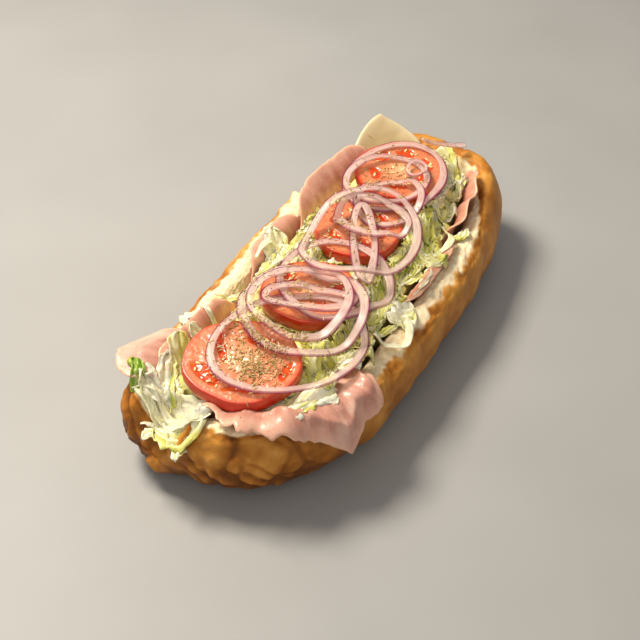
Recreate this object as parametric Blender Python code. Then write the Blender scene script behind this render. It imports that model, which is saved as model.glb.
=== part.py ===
"""Submarine sandwich: a split roll lined with cheese and ham, filled with shredded lettuce,
and topped with tomato slices and red onion rings.

Metres, +Z up. +X runs along the roll, whose notched end is at -X, and the roll stands on its
flat base at z = 0. Everything inside the roll is placed in the roll's own terms: a share of the
way round its outline, an inset from that outline, and a height.
"""

import math

import bmesh
import bpy
import numpy as np

# Roll
ROLL_LENGTH = 0.270
ROLL_WIDTH = 0.118
ROLL_CENTRE = (0.004, 0.002)
RIM_HEIGHT = 0.047
FLOOR_HEIGHT = 0.012
OUTLINE_POWERS = (2.8, 4.0, 3.0, 3.2)  # one for each quarter from +X; 2 is an ellipse, and more is squarer
SPINE_HALF = ROLL_LENGTH / 2 - ROLL_WIDTH / 2  # insets shrink the outline towards this line
NOSE_SHIFT = 0.013  # the notched end is bent towards +Y
NOSE_START = -0.060
LEAN = 0.035  # the +Y wall is taller than the middle by this share, and the -Y wall lower
END_LIFT = (0.13, 0.080, 0.132)  # the +X end is taller by this share, growing between these two x
ROLL_AROUND = 74  # points round the outline
NOSE_DENSITY = 0.35  # how much closer together those points are at the notched end
OUTER_PROFILE = (  # (inset, height) up the crust
    (0.034, 0.0),
    (0.022, 0.0012),
    (0.009, 0.0075),
    (0.0015, 0.0165),
    (0.0, 0.027),
)
UPPER_PROFILE = ((0.0025, 0.0375), (0.0065, 0.0445), (0.0095, RIM_HEIGHT))  # up to the rim, near the ends
SPLAYED_PROFILE = ((0.0003, 0.0360), (0.0025, 0.0413), (0.0095, 0.0462))  # the same where the cut face leans out
SPLAY = ((-0.100, -0.072), (0.045, 0.085))  # x between which that starts, and between which it ends
INNER_PROFILE = (
    (0.0165, 0.0455),
    (0.0195, 0.038),
    (0.022, 0.027),
    (0.027, 0.0165),
    (0.037, FLOOR_HEIGHT),
)
LUMP_DEPTH = 0.0011
LIP_WAVE = 0.0007

# V-shaped notch where the slit runs out at the nose
NOTCH_SHARE = 0.478
NOTCH_HALF_WIDTH = 0.017
NOTCH_DEPTH = 0.5  # share of the wall's height that is missing at its middle
NOTCH_FADE = (0.020, 0.034)  # insets over which the notch dies out into the floor

# Folds of the torn crust on the nose, as (share of the way round, half width, depth)
CRUST_FOLDS = (
    (0.505, 0.006, 0.0030),
    (0.528, 0.007, 0.0034),
    (0.548, 0.008, 0.0026),
    (0.572, 0.007, 0.0022),
    (0.452, 0.007, 0.0024),
)

# Sheets of ham and cheese that line the roll
HAM_THICKNESS = 0.0015
CHEESE_THICKNESS = 0.0024
OUTER_LAYER = 0.0017  # from the crumb to the middle of the sheet
INNER_LAYER = 0.0046
CHEESE_LAYER = 0.0022
OVER_CHEESE_LAYER = 0.0056
SHEET_COLUMNS = 13
SHEET_FOOT = 0.050  # inset at which a sheet starts, down on the floor
SHEET_LOW_ROWS = (0.0, 0.2, 0.45, 0.7, 1.0)  # shares of the climb up to the rim
SHEET_CLIMB = 0.045
SHEET_TOP_ROW = 0.0065  # spacing of the rows past that

# Lettuce
LETTUCE_GAP = 0.0105
LETTUCE_EDGE_HEIGHT = 0.045
LETTUCE_CROWN = 0.0125
LETTUCE_AROUND = 44
LETTUCE_LUMP = 0.0022
CLEARANCE = 0.0008

# Toppings
TOMATO_SIDES = 32
RING_WIDTH = 0.0055
RING_THICKNESS = 0.0018
RING_SECTIONS = 26
RING_SAMPLES = 182  # a multiple of the sections
RING_STIFFNESS = 0.075  # share of a ring over which it bridges a gap
RING_CLEARANCE = 0.0005
RING_SAG = 0.010  # no part of a ring hangs further than this below its highest part

# (name, x, y, height of the middle, diameter, thickness, slope along x, slope along y)
TOMATOES = (
    ("tomato_near", -0.0840, 0.0080, 0.0566, 0.057, 0.0065, 0.13, 0.10),
    ("tomato_second", -0.0302, 0.0015, 0.0575, 0.049, 0.0065, -0.04, -0.02),
    ("tomato_third", 0.0262, 0.0028, 0.0575, 0.047, 0.0065, 0.03, 0.02),
    ("tomato_far", 0.0807, 0.0042, 0.0590, 0.051, 0.0065, 0.03, 0.02),
)

# (name, x, y, half length, half width, turn in degrees), from the lowest to the highest
ONION_RINGS = (
    ("onion_front_wide", -0.0677, -0.0084, 0.0409, 0.0307, -30),
    ("onion_middle_low", -0.0185, -0.0065, 0.0335, 0.0300, 11),
    ("onion_cross", -0.0415, -0.0046, 0.0110, 0.0240, 25),
    ("onion_second_outer", -0.0477, -0.0044, 0.0317, 0.0317, 0),
    ("onion_second_inner", -0.0461, -0.0026, 0.0276, 0.0240, -32),
    ("onion_far_wide", 0.0714, 0.0032, 0.0341, 0.0268, -2),
    ("onion_far_second", 0.0656, 0.0051, 0.0257, 0.0224, -20),
    ("onion_far_inner", 0.0490, -0.0038, 0.0215, 0.0190, -5),
    ("onion_link", 0.0120, -0.0075, 0.0280, 0.0085, 28),
    ("onion_third_inner", 0.0290, -0.0036, 0.0158, 0.0223, 18),
    ("onion_third_wide", 0.0111, -0.0059, 0.0373, 0.0301, -12),
    ("onion_far_small", 0.0778, -0.0060, 0.0127, 0.0080, 20),
)

# A cut end of a ring, as the two ends of its middle line, how far it bows out, and its width
ONION_STRIP = ("onion_end", (0.1010, 0.0010), (0.1240, -0.0155), 0.0015, 0.0028)
STRIP_SECTIONS = 12


# ---- the roll's own coordinates ------------------------------------------------------------


def smooth_step(value, start, end):
    """0 before start and 1 after end, with a smooth change between them."""
    t = np.clip((np.asarray(value, float) - start) / (end - start), 0.0, 1.0)
    return t * t * (3.0 - 2.0 * t)


def outline_table():
    """Arc length and points of the roll's widest line, anticlockwise from +X.

    Each quarter is a superellipse, |x / half length| ** n + |y / half width| ** n = 1, with its own n.
    """
    angle = np.linspace(0.0, 2.0 * math.pi, 4001)
    quarter = np.minimum(angle // (0.5 * math.pi), 3).astype(int)
    power = 2.0 / np.array(OUTLINE_POWERS)[quarter]
    cos, sin = np.cos(angle), np.sin(angle)
    x = ROLL_LENGTH / 2 * np.sign(cos) * np.abs(cos) ** power
    y = ROLL_WIDTH / 2 * np.sign(sin) * np.abs(sin) ** power
    steps = np.hypot(np.diff(x), np.diff(y))
    return np.concatenate([[0.0], np.cumsum(steps)]), x, y


OUTLINE_ARC, OUTLINE_X, OUTLINE_Y = outline_table()
PERIMETER = OUTLINE_ARC[-1]


def plan(share, inset):
    """x and y at a share of the way round the outline, moved in by inset towards the spine."""
    arc = np.mod(share, 1.0) * PERIMETER
    x = np.interp(arc, OUTLINE_ARC, OUTLINE_X)
    y = np.interp(arc, OUTLINE_ARC, OUTLINE_Y)
    spine = np.clip(x, -SPINE_HALF, SPINE_HALF)
    out = np.hypot(x - spine, y)
    kept = 1.0 - inset / out
    x, y = ROLL_CENTRE[0] + spine + (x - spine) * kept, ROLL_CENTRE[1] + y * kept
    shift = NOSE_SHIFT * smooth_step(-x, -NOSE_START, ROLL_LENGTH / 2)
    return x, y + shift


def share_at(x, side):
    """The share of the way round at which the outline passes x, on the +Y side (1) or the -Y side (-1)."""
    half = len(OUTLINE_X) // 2
    x = x - ROLL_CENTRE[0]
    if side > 0:
        return np.interp(-x, -OUTLINE_X[: half + 1], OUTLINE_ARC[: half + 1]) / PERIMETER
    return np.interp(x, OUTLINE_X[half:], OUTLINE_ARC[half:]) / PERIMETER


def notch(share, inset):
    """The share of the height that the V-shaped notch takes away."""
    off = np.abs((np.mod(share, 1.0) - NOTCH_SHARE) * PERIMETER)
    depth = NOTCH_DEPTH * np.clip(1.0 - off / NOTCH_HALF_WIDTH, 0.0, 1.0)
    return depth * (1.0 - smooth_step(inset, *NOTCH_FADE))


def place(share, inset, height):
    """Points in space, as an array whose last axis is x, y and z."""
    share, inset, height = np.broadcast_arrays(share, inset, height)
    x, y = plan(share, inset)
    taller = 1.0 + LEAN * (y - ROLL_CENTRE[1]) / (ROLL_WIDTH / 2)
    taller = taller + END_LIFT[0] * smooth_step(x, *END_LIFT[1:])
    return np.stack([x, y, height * taller * (1.0 - notch(share, inset))], axis=-1)


def shares_around(count):
    """Shares of the way round, alike on both sides, and closer together towards the nose."""
    t = np.arange(count) / count
    return t + NOSE_DENSITY / (2.0 * math.pi) * np.sin(2.0 * math.pi * t)


# ---- meshes --------------------------------------------------------------------------------


def make_material(name, colour, roughness):
    """A Principled material with one colour and roughness."""
    material = bpy.data.materials.new(name)
    material.use_nodes = True
    shader = material.node_tree.nodes["Principled BSDF"]
    shader.inputs["Base Color"].default_value = (*colour, 1.0)
    shader.inputs["Roughness"].default_value = roughness
    shader.inputs["Metallic"].default_value = 0.0
    return material


def add_solid(name, points, faces, material):
    """One closed object, shaded smooth, with its faces pointing outwards."""
    mesh = bpy.data.meshes.new(name)
    mesh.from_pydata(points.reshape(-1, 3).tolist(), [], faces)
    shape = bmesh.new()
    shape.from_mesh(mesh)
    bmesh.ops.recalc_face_normals(shape, faces=shape.faces)
    bmesh.ops.triangulate(shape, faces=shape.faces)
    shape.to_mesh(mesh)
    shape.free()
    mesh.shade_smooth()
    mesh.materials.append(material)
    solid = bpy.data.objects.new(name, mesh)
    bpy.context.scene.collection.objects.link(solid)
    return solid


def wall_faces(rows, columns):
    """Quads between closed loops that follow each other, with the same number of points in each."""
    faces = []
    for row in range(rows - 1):
        for column in range(columns):
            following = (column + 1) % columns
            low, high = row * columns, (row + 1) * columns
            faces.append((low + column, low + following, high + following, high + column))
    return faces


def lid_faces(first, columns):
    """Faces across a long loop, each joining a stretch to the one opposite it."""
    half = columns // 2
    faces = []
    for i in range(half):
        corners = (i, i + 1, columns - i - 1, (columns - i) % columns)
        faces.append(tuple(first + c for c in dict.fromkeys(corners)))
    return faces


def grid_faces(rows, columns, first, flip):
    """Quads of an open grid of points."""
    faces = []
    for row in range(rows - 1):
        for column in range(columns - 1):
            a = first + row * columns + column
            quad = (a, a + 1, a + columns + 1, a + columns)
            faces.append(quad[::-1] if flip else quad)
    return faces


def shell_faces(rows, columns):
    """Faces of a thin shell: two grids, one after the other, and the edge that joins them."""
    back = rows * columns
    faces = grid_faces(rows, columns, 0, False) + grid_faces(rows, columns, back, True)
    edge = [(0, c) for c in range(columns)]
    edge += [(r, columns - 1) for r in range(1, rows)]
    edge += [(rows - 1, c) for c in range(columns - 2, -1, -1)]
    edge += [(r, 0) for r in range(rows - 2, 0, -1)]
    ring = [r * columns + c for r, c in edge]
    for a, b in zip(ring, ring[1:] + ring[:1]):
        faces.append((b, a, a + back, b + back))
    return faces


# ---- the roll ------------------------------------------------------------------------------


def splay_at(share):
    """1 along the sides, where the cut face leans out, and 0 at the two ends."""
    x, _ = plan(share, 0.0)
    return smooth_step(x, *SPLAY[0]) * (1.0 - smooth_step(x, *SPLAY[1]))


def crust_relief(share, height):
    """How far the crust is pushed in: low lumps all round, and the folds of the torn nose."""
    turn = 2.0 * math.pi * share
    lumps = np.sin(7 * turn + 1.0) + np.sin(13 * turn + 90.0 * height) + np.sin(23 * turn - 60.0 * height)
    relief = LUMP_DEPTH / 3.0 * lumps
    for centre, half_width, depth in CRUST_FOLDS:
        off = (share - centre) / half_width + 18.0 * (height - 0.03)
        relief = relief + depth * np.exp(-(off**2))
    return relief * smooth_step(height, 0.001, 0.012)


def make_roll(material):
    """The roll is one closed skin: loops that climb the crust, cross the rim and go down the crumb."""
    share = shares_around(ROLL_AROUND)
    splay = splay_at(share)
    lip = LIP_WAVE * (np.sin(34.0 * math.pi * share) + 0.7 * np.sin(58.0 * math.pi * share + 1.0))
    loops = []
    for inset, height in OUTER_PROFILE:
        loops.append(place(share, inset + crust_relief(share, height), height))
    for row, (plain, splayed) in enumerate(zip(UPPER_PROFILE, SPLAYED_PROFILE)):
        inset = plain[0] + splay * (splayed[0] - plain[0])
        height = plain[1] + splay * (splayed[1] - plain[1])
        relief = crust_relief(share, height) if row < 2 else 0.0
        loops.append(place(share, inset + relief, height + 0.5 * lip))
    for inset, height in INNER_PROFILE:
        loops.append(place(share, inset, height))
    rows = len(loops)
    faces = wall_faces(rows, ROLL_AROUND)
    faces.append(tuple(range(ROLL_AROUND)))
    faces += lid_faces((rows - 1) * ROLL_AROUND, ROLL_AROUND)
    return add_solid("roll", np.array(loops), faces, material)


# ---- ham and cheese ------------------------------------------------------------------------


def lining_path(beyond):
    """Arc length, outward position, height and inward normals of a sheet's way up the crumb and past the rim."""
    inner = [(-inset, height) for inset, height in reversed(INNER_PROFILE[1:])]
    corner = [(-INNER_PROFILE[0][0] - 0.0014, INNER_PROFILE[0][1] + 0.0010)]  # rounding it brings it back
    path = np.array([(-SHEET_FOOT, FLOOR_HEIGHT)] + inner + corner + list(beyond))
    for _ in range(2):  # each pass cuts the corners, which rounds the path
        quarter = 0.75 * path[:-1] + 0.25 * path[1:]
        three_quarters = 0.25 * path[:-1] + 0.75 * path[1:]
        inside = np.stack([quarter, three_quarters], axis=1).reshape(-1, 2)
        path = np.concatenate([path[:1], inside, path[-1:]])
    steps = np.diff(path, axis=0)
    arc = np.concatenate([[0.0], np.cumsum(np.hypot(*steps.T))])
    along = np.gradient(path, arc, axis=0)
    along /= np.hypot(*along.T)[:, None]
    return arc, path, np.stack([-along[:, 1], along[:, 0]], axis=1)


def reach_along(top, u):
    """How much of its way a sheet covers at u, where -1 and 1 are its two side edges.

    top is "broad" or "corner", or pairs of u and the share covered, joined by straight lines.
    """
    if top == "broad":
        return 1.0 - 0.24 * np.abs(u) ** 5
    if top == "corner":  # the edge bulges on one side of the corner and is hollow on the other
        return 1.0 - np.where(u > 0.0, 0.34 * np.abs(u) ** 1.6, 0.36 * np.abs(u) ** 0.8)
    return np.interp(u, *zip(*top))


def make_sheet(name, material, share, half_length, layer, beyond, top, ruffle=(0.0, 0.0, 0.0)):
    """A slice that stands on the floor of the roll, climbs its wall and ends past the rim.

    share is where its middle stands, layer its distance from the crumb, beyond the points past the rim
    as (outward, height), and ruffle the depth, number and phase of the waves near its upper edge.
    """
    arc, path, normal = lining_path(beyond)
    u = np.linspace(-1.0, 1.0, SHEET_COLUMNS)[None, :]
    end = arc[-1] * reach_along(top, u)
    climb = np.minimum(SHEET_CLIMB, 0.85 * end)
    upper = max(2, round((arc[-1] - SHEET_CLIMB) / SHEET_TOP_ROW))
    low = np.array(SHEET_LOW_ROWS)[:, None]
    high = (np.arange(1, upper + 1) / upper)[:, None]
    run = np.concatenate([low * climb, climb + high * (end - climb)])
    outward = np.interp(run, arc, path[:, 0])
    height = np.interp(run, arc, path[:, 1])
    normal_out = np.interp(run, arc, normal[:, 0])
    normal_up = np.interp(run, arc, normal[:, 1])
    depth, waves, phase = ruffle
    wave = depth * 0.5 * (1.0 + np.sin(waves * math.pi * u + phase)) * smooth_step(run / end, 0.55, 1.0)
    thickness = CHEESE_THICKNESS if name == "cheese" else HAM_THICKNESS
    sides = []
    for off in (-0.5 * thickness, 0.5 * thickness):
        reach = layer + wave + off
        along = share + u * half_length / PERIMETER + 0.0 * run
        sides.append(place(along, -(outward + reach * normal_out), height + reach * normal_up))
    return add_solid(name, np.array(sides), shell_faces(len(run), SHEET_COLUMNS), material)


def make_left_linings(ham, cheese):
    """The cheese, whose corner sticks up at the far end, and the four slices of ham on the +Y wall."""
    make_sheet(
        "cheese", cheese, share_at(0.1240, 1), 0.056, CHEESE_LAYER,
        [(-0.0150, 0.0490), (-0.0120, 0.0520), (-0.0070, 0.0553), (-0.0050, 0.0563)], "corner",
    )
    make_sheet(
        "ham_left_near", ham, share_at(-0.1030, 1), 0.024, OUTER_LAYER,
        [(-0.0115, 0.0514), (-0.0060, 0.0510), (-0.0005, 0.0500), (0.0040, 0.0500)],
        ((-1.0, 0.80), (-0.5, 0.89), (0.0, 1.0), (0.35, 0.95), (1.0, 0.86)),
    )
    make_sheet(
        "ham_left_second", ham, share_at(-0.0840, 1), 0.045, INNER_LAYER,
        [(-0.0160, 0.0500), (-0.0135, 0.0515)], "broad", ruffle=(0.0010, 2.0, 0.4),
    )
    make_sheet(
        "ham_left_third", ham, share_at(0.0070, 1), 0.029, OUTER_LAYER,
        [(-0.0160, 0.0490), (-0.0118, 0.0504)], "broad",
    )
    make_sheet(
        "ham_left_far", ham, share_at(0.0680, 1), 0.043, OVER_CHEESE_LAYER,
        [(-0.0165, 0.0500), (-0.0140, 0.0530), (-0.0105, 0.0560)], "broad",
    )


def make_right_linings(ham):
    """The four slices of ham on the -Y wall; the first one hangs over the rim at the notched end."""
    start, end = 0.490, share_at(-0.0590, -1)
    make_sheet(
        "ham_right_near", ham, 0.5 * (start + end), 0.5 * (end - start) * PERIMETER, OUTER_LAYER,
        [(-0.0095, 0.0496), (-0.0045, 0.0478), (0.0008, 0.0394), (0.0032, 0.0290), (0.0032, 0.0240)],
        ((-1.0, 0.63), (-0.6, 0.66), (-0.25, 0.70), (0.10, 0.77), (0.34, 0.86), (0.5, 0.95),
         (0.67, 0.86), (0.84, 0.83), (1.0, 0.70)),
    )
    make_sheet(
        "ham_right_second", ham, share_at(-0.0650, -1), 0.039, INNER_LAYER,
        [(-0.0140, 0.0495), (-0.0110, 0.0508)], "broad", ruffle=(0.0010, 1.6, 2.0),
    )
    make_sheet(
        "ham_right_third", ham, share_at(0.0260, -1), 0.036, OUTER_LAYER,
        [(-0.0165, 0.0480), (-0.0122, 0.0488)], "broad",
    )
    make_sheet(
        "ham_right_far", ham, share_at(0.0930, -1), 0.038, INNER_LAYER,
        [(-0.0165, 0.0490), (-0.0165, 0.0515)], "broad", ruffle=(0.0043, 3.0, 4.55),
    )


# ---- what has been laid so far, seen from above ---------------------------------------------


class TopSurface:
    """Heights of everything laid so far, on a square grid seen from above."""

    STEP = 0.001

    def __init__(self):
        self.x = np.arange(-0.16, 0.16, self.STEP)
        self.y = np.arange(-0.09, 0.09, self.STEP)
        self.height = np.zeros((len(self.x), len(self.y)))

    def add(self, solid):
        """Raises the grid to each triangle of a solid, a little grown so that no cell is missed."""
        for polygon in solid.data.polygons:
            a, b, c = (np.array(solid.data.vertices[i].co) for i in polygon.vertices)
            normal = np.cross(b - a, c - a)
            if normal[2] <= 1e-3 * np.linalg.norm(normal):
                continue
            low, high = np.minimum(np.minimum(a, b), c), np.maximum(np.maximum(a, b), c)
            i0, i1 = np.searchsorted(self.x, (low[0] - self.STEP, high[0] + self.STEP))
            j0, j1 = np.searchsorted(self.y, (low[1] - self.STEP, high[1] + self.STEP))
            x, y = np.meshgrid(self.x[i0:i1], self.y[j0:j1], indexing="ij")
            inside = np.ones(x.shape, bool)
            for p, q in ((a, b), (b, c), (c, a)):
                edge = (q - p)[:2]
                off = (x - p[0]) * edge[1] - (y - p[1]) * edge[0]
                inside &= off <= self.STEP * np.hypot(*edge)
            z = a[2] - ((x - a[0]) * normal[0] + (y - a[1]) * normal[1]) / normal[2]
            z = np.where(inside, np.minimum(z, high[2]), 0.0)
            self.height[i0:i1, j0:j1] = np.maximum(self.height[i0:i1, j0:j1], z)

    def highest_near(self, x, y, reach):
        """The highest thing within reach of each point."""
        around = math.ceil(reach / self.STEP)
        i = np.round((x - self.x[0]) / self.STEP).astype(int)
        j = np.round((y - self.y[0]) / self.STEP).astype(int)
        best = np.zeros(len(i))
        for di in range(-around, around + 1):
            for dj in range(-around, around + 1):
                if math.hypot(di, dj) * self.STEP <= reach:
                    best = np.maximum(best, self.height[i + di, j + dj])
        return best


# ---- tomato --------------------------------------------------------------------------------


def tomato_underside(x, y, spec):
    """Height of a slice's underside, as a plane, and how far each point is outside its rim."""
    _, cx, cy, middle, diameter, thickness, slope_x, slope_y = spec
    plane = middle - 0.5 * thickness + slope_x * (x - cx) + slope_y * (y - cy)
    return plane, np.hypot(x - cx, y - cy) - 0.5 * diameter


def make_tomato(spec, material):
    """A slice with slightly lobed, bulging sides, and flat faces that lean by its two slopes."""
    name, cx, cy, middle, diameter, thickness, slope_x, slope_y = spec
    angle = np.arange(TOMATO_SIDES) / TOMATO_SIDES * 2.0 * math.pi
    lobes = 1.0 + 0.018 * np.cos(5 * angle + 40.0 * cx) + 0.010 * np.cos(3 * angle + 1.0)
    loops = []
    for rise, narrowing in ((-0.5, 0.955), (0.05, 1.0), (0.5, 0.94)):
        radius = 0.5 * diameter * lobes * narrowing
        x, y = radius * np.cos(angle), radius * np.sin(angle)
        z = middle + rise * thickness + slope_x * x + slope_y * y
        loops.append(np.stack([cx + x, cy + y, z], axis=-1))
    faces = wall_faces(3, TOMATO_SIDES)
    faces.append(tuple(range(TOMATO_SIDES)))
    faces.append(tuple(range(2 * TOMATO_SIDES, 3 * TOMATO_SIDES)))
    return add_solid(name, np.array(loops), faces, material)


# ---- lettuce -------------------------------------------------------------------------------


def lettuce_top(x, y):
    """Height of the heap: a crown along the roll with lumps, pressed down under each tomato slice."""
    crown = LETTUCE_CROWN * np.clip(1.0 - (y / 0.045) ** 2, 0.0, 1.0)
    lumps = np.sin(170.0 * x + 1.0) * np.sin(210.0 * y) + np.sin(310.0 * x - 130.0 * y)
    z = LETTUCE_EDGE_HEIGHT + crown + LETTUCE_LUMP * 0.5 * lumps
    for spec in TOMATOES:
        plane, outside = tomato_underside(x, y, spec)
        pressed = np.minimum(z, plane - CLEARANCE)
        z = np.where(outside < 0.010, pressed, z)
    return z


def make_lettuce(material):
    """The heap fills the lining: loops up its inner face, then inwards over the top."""
    share = shares_around(LETTUCE_AROUND)
    deep = LETTUCE_GAP
    profile = [(INNER_PROFILE[4][0] + deep * 0.6, FLOOR_HEIGHT + deep)]
    profile += [(INNER_PROFILE[3][0] + deep * 0.95, INNER_PROFILE[3][1] + deep * 0.6)]
    profile += [(INNER_PROFILE[2][0] + deep, INNER_PROFILE[2][1])]
    profile += [(INNER_PROFILE[1][0] + deep, INNER_PROFILE[1][1])]
    loops = [place(share, inset, height) for inset, height in profile]
    for inset in (0.0320, 0.0365, 0.0420, 0.0475, 0.0525, 0.0560):
        loop = place(share, inset, 0.0)
        loop[:, 2] = lettuce_top(loop[:, 0], loop[:, 1])
        loops.append(loop)
    rows = len(loops)
    faces = wall_faces(rows, LETTUCE_AROUND)
    faces += lid_faces(0, LETTUCE_AROUND)
    faces += lid_faces((rows - 1) * LETTUCE_AROUND, LETTUCE_AROUND)
    return add_solid("lettuce", np.array(loops), faces, material)


# ---- onion ---------------------------------------------------------------------------------


def bridged(height, share):
    """A loop of heights, raised so that it never dips under itself and bends only gently.

    Each height becomes the highest within reach, and the mean within reach is taken of those.
    """
    reach = max(1, round(share * len(height) / 2))
    shifts = range(-reach, reach + 1)
    raised = np.max([np.roll(height, s) for s in shifts], axis=0)
    return np.mean([np.roll(raised, s) for s in shifts], axis=0)


def make_onion_ring(spec, top, material):
    """A flat ring that lies on whatever is under it."""
    name, cx, cy, half_length, half_width, turn = spec
    angle = np.arange(RING_SAMPLES) / RING_SAMPLES * 2.0 * math.pi
    wobble = 1.0 + 0.03 * np.sin(2 * angle + 50.0 * cx) + 0.02 * np.sin(3 * angle + 90.0 * cy)
    along = (half_length - 0.5 * RING_WIDTH) * wobble * np.cos(angle)
    across = (half_width - 0.5 * RING_WIDTH) * wobble * np.sin(angle)
    cos, sin = math.cos(math.radians(turn)), math.sin(math.radians(turn))
    x = cx + along * cos - across * sin
    y = cy + along * sin + across * cos
    under = top.highest_near(x, y, 0.5 * RING_WIDTH + 0.0010)
    under = np.maximum(under, under.max() - RING_SAG)
    base = bridged(under, RING_STIFFNESS) + RING_CLEARANCE
    centre = np.stack([x, y, base + 0.5 * RING_THICKNESS], axis=-1)[:: RING_SAMPLES // RING_SECTIONS]
    forward = np.roll(centre, -1, axis=0) - np.roll(centre, 1, axis=0)
    out = np.stack([forward[:, 1], -forward[:, 0], np.zeros(len(forward))], axis=-1)
    out /= np.linalg.norm(out, axis=1)[:, None]
    up = np.array([0.0, 0.0, 1.0])
    loops = []
    for wide, high in ((0.5, -0.5), (0.5, 0.5), (-0.5, 0.5), (-0.5, -0.5)):
        loops.append(centre + out * wide * RING_WIDTH + up * high * RING_THICKNESS)
    faces = wall_faces(5, len(centre))
    count = 4 * len(centre)
    faces = [tuple(corner % count for corner in face) for face in faces]
    ring = add_solid(name, np.array(loops), faces, material)
    top.add(ring)
    return ring


def make_onion_strip(spec, top, material):
    """A narrow bowed strip that lies across whatever is under it."""
    name, start, end, bow, width = spec
    t = np.linspace(0.0, 1.0, STRIP_SECTIONS)[:, None]
    chord = np.array(end) - np.array(start)
    out = np.array([-chord[1], chord[0]]) / np.hypot(*chord)
    line = np.array(start) + t * chord + 4.0 * bow * t * (1.0 - t) * out
    under = top.highest_near(line[:, 0], line[:, 1], 0.5 * width + 0.0010)
    under = np.maximum(under, under.max() - RING_SAG)
    there_and_back = np.concatenate([under, under[::-1]])
    base = bridged(there_and_back, RING_STIFFNESS)[:STRIP_SECTIONS] + RING_CLEARANCE
    centre = np.concatenate([line, base[:, None] + 0.5 * RING_THICKNESS], axis=1)
    loops = []
    for wide, high in ((0.5, -0.5), (0.5, 0.5), (-0.5, 0.5), (-0.5, -0.5)):
        loops.append(centre + np.array([*(out * wide * width), high * RING_THICKNESS]))
    points = np.stack(loops, axis=1)  # one loop of four corners for each section
    last = 4 * (STRIP_SECTIONS - 1)
    faces = wall_faces(STRIP_SECTIONS, 4) + [(0, 1, 2, 3), tuple(range(last, last + 4))]
    strip = add_solid(name, points, faces, material)
    top.add(strip)
    return strip


# ---- the whole -----------------------------------------------------------------------------


def centre_on_origin():
    """Moves every solid alike, so that the middle of the whole box stands over the origin."""
    solids = list(bpy.context.scene.objects)
    points = np.array([vertex.co for solid in solids for vertex in solid.data.vertices])
    low, high = points.min(axis=0), points.max(axis=0)
    for solid in solids:
        solid.location = (-(low[0] + high[0]) / 2, -(low[1] + high[1]) / 2, -low[2])


def main():
    for left_over in list(bpy.data.objects):
        bpy.data.objects.remove(left_over)
    crust = make_material("crust", (0.55, 0.30, 0.10), 0.6)
    cheese = make_material("cheese", (0.85, 0.75, 0.50), 0.4)
    ham = make_material("ham", (0.75, 0.38, 0.33), 0.4)
    lettuce = make_material("lettuce", (0.70, 0.75, 0.40), 0.45)
    tomato = make_material("tomato", (0.75, 0.12, 0.04), 0.25)
    onion = make_material("onion", (0.80, 0.62, 0.66), 0.3)

    top = TopSurface()
    top.add(make_roll(crust))
    make_left_linings(ham, cheese)
    make_right_linings(ham)
    for solid in list(bpy.context.scene.objects):
        top.add(solid)
    top.add(make_lettuce(lettuce))
    for spec in TOMATOES:
        top.add(make_tomato(spec, tomato))
    for spec in ONION_RINGS:
        make_onion_ring(spec, top, onion)
    make_onion_strip(ONION_STRIP, top, onion)
    centre_on_origin()


main()
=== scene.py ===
# %% [markdown]
# # A submarine sandwich, surface by surface
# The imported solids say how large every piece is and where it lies. This script gives each piece
# the surface of the real food: a cracked golden crust, ragged ham, shreds of lettuce, wet tomato
# and translucent onion, with herbs and pepper scattered on top.

# %% Load the solids
import math

import bpy
import numpy as np
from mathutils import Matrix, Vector
from mathutils.bvhtree import BVHTree


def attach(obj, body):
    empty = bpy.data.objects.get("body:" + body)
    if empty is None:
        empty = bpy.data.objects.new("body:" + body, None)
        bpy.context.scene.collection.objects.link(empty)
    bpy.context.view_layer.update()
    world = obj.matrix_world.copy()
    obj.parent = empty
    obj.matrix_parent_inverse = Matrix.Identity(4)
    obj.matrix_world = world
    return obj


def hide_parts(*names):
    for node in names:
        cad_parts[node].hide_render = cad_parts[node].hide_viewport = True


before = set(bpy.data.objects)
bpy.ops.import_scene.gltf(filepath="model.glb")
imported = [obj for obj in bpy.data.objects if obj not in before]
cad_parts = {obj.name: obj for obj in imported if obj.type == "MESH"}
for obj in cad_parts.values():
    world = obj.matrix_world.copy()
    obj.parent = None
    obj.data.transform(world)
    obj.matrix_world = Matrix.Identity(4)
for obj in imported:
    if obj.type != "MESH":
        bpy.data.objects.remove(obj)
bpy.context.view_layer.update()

# %% [markdown]
# ## Camera, floor and light
# Food looks best under one large soft light from behind and to one side, because it rakes over
# the crust and shines through thin edges. A weak second light fills the shadows.

# %% Camera
CAMERA_AIM = Vector((0.0086, 0.0138, 0.0))
CAMERA_DISTANCE = 0.75
CAMERA_AZIMUTH = -62.0
CAMERA_ELEVATION = 42.06
CAMERA_LENS = 77.06  # mm, on a sensor 36 mm wide


def direction(azimuth, elevation):
    """The unit vector towards a place on the sky; azimuth 0 is -Y and 90 is +X, in degrees."""
    a, e = math.radians(azimuth), math.radians(elevation)
    return Vector((math.sin(a) * math.cos(e), -math.cos(a) * math.cos(e), math.sin(e)))


camera_data = bpy.data.cameras.new("camera")
camera_data.lens = CAMERA_LENS
camera_data.sensor_width = 36.0
camera_data.clip_start = 0.01
camera = bpy.data.objects.new("camera", camera_data)
back = direction(CAMERA_AZIMUTH, CAMERA_ELEVATION)
camera.location = CAMERA_AIM + back * CAMERA_DISTANCE
camera.rotation_euler = back.to_track_quat("Z", "Y").to_euler()
bpy.context.scene.collection.objects.link(camera)
bpy.context.scene.camera = camera
print("camera at", [round(v, 3) for v in camera.location])

# %% Lights


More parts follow.
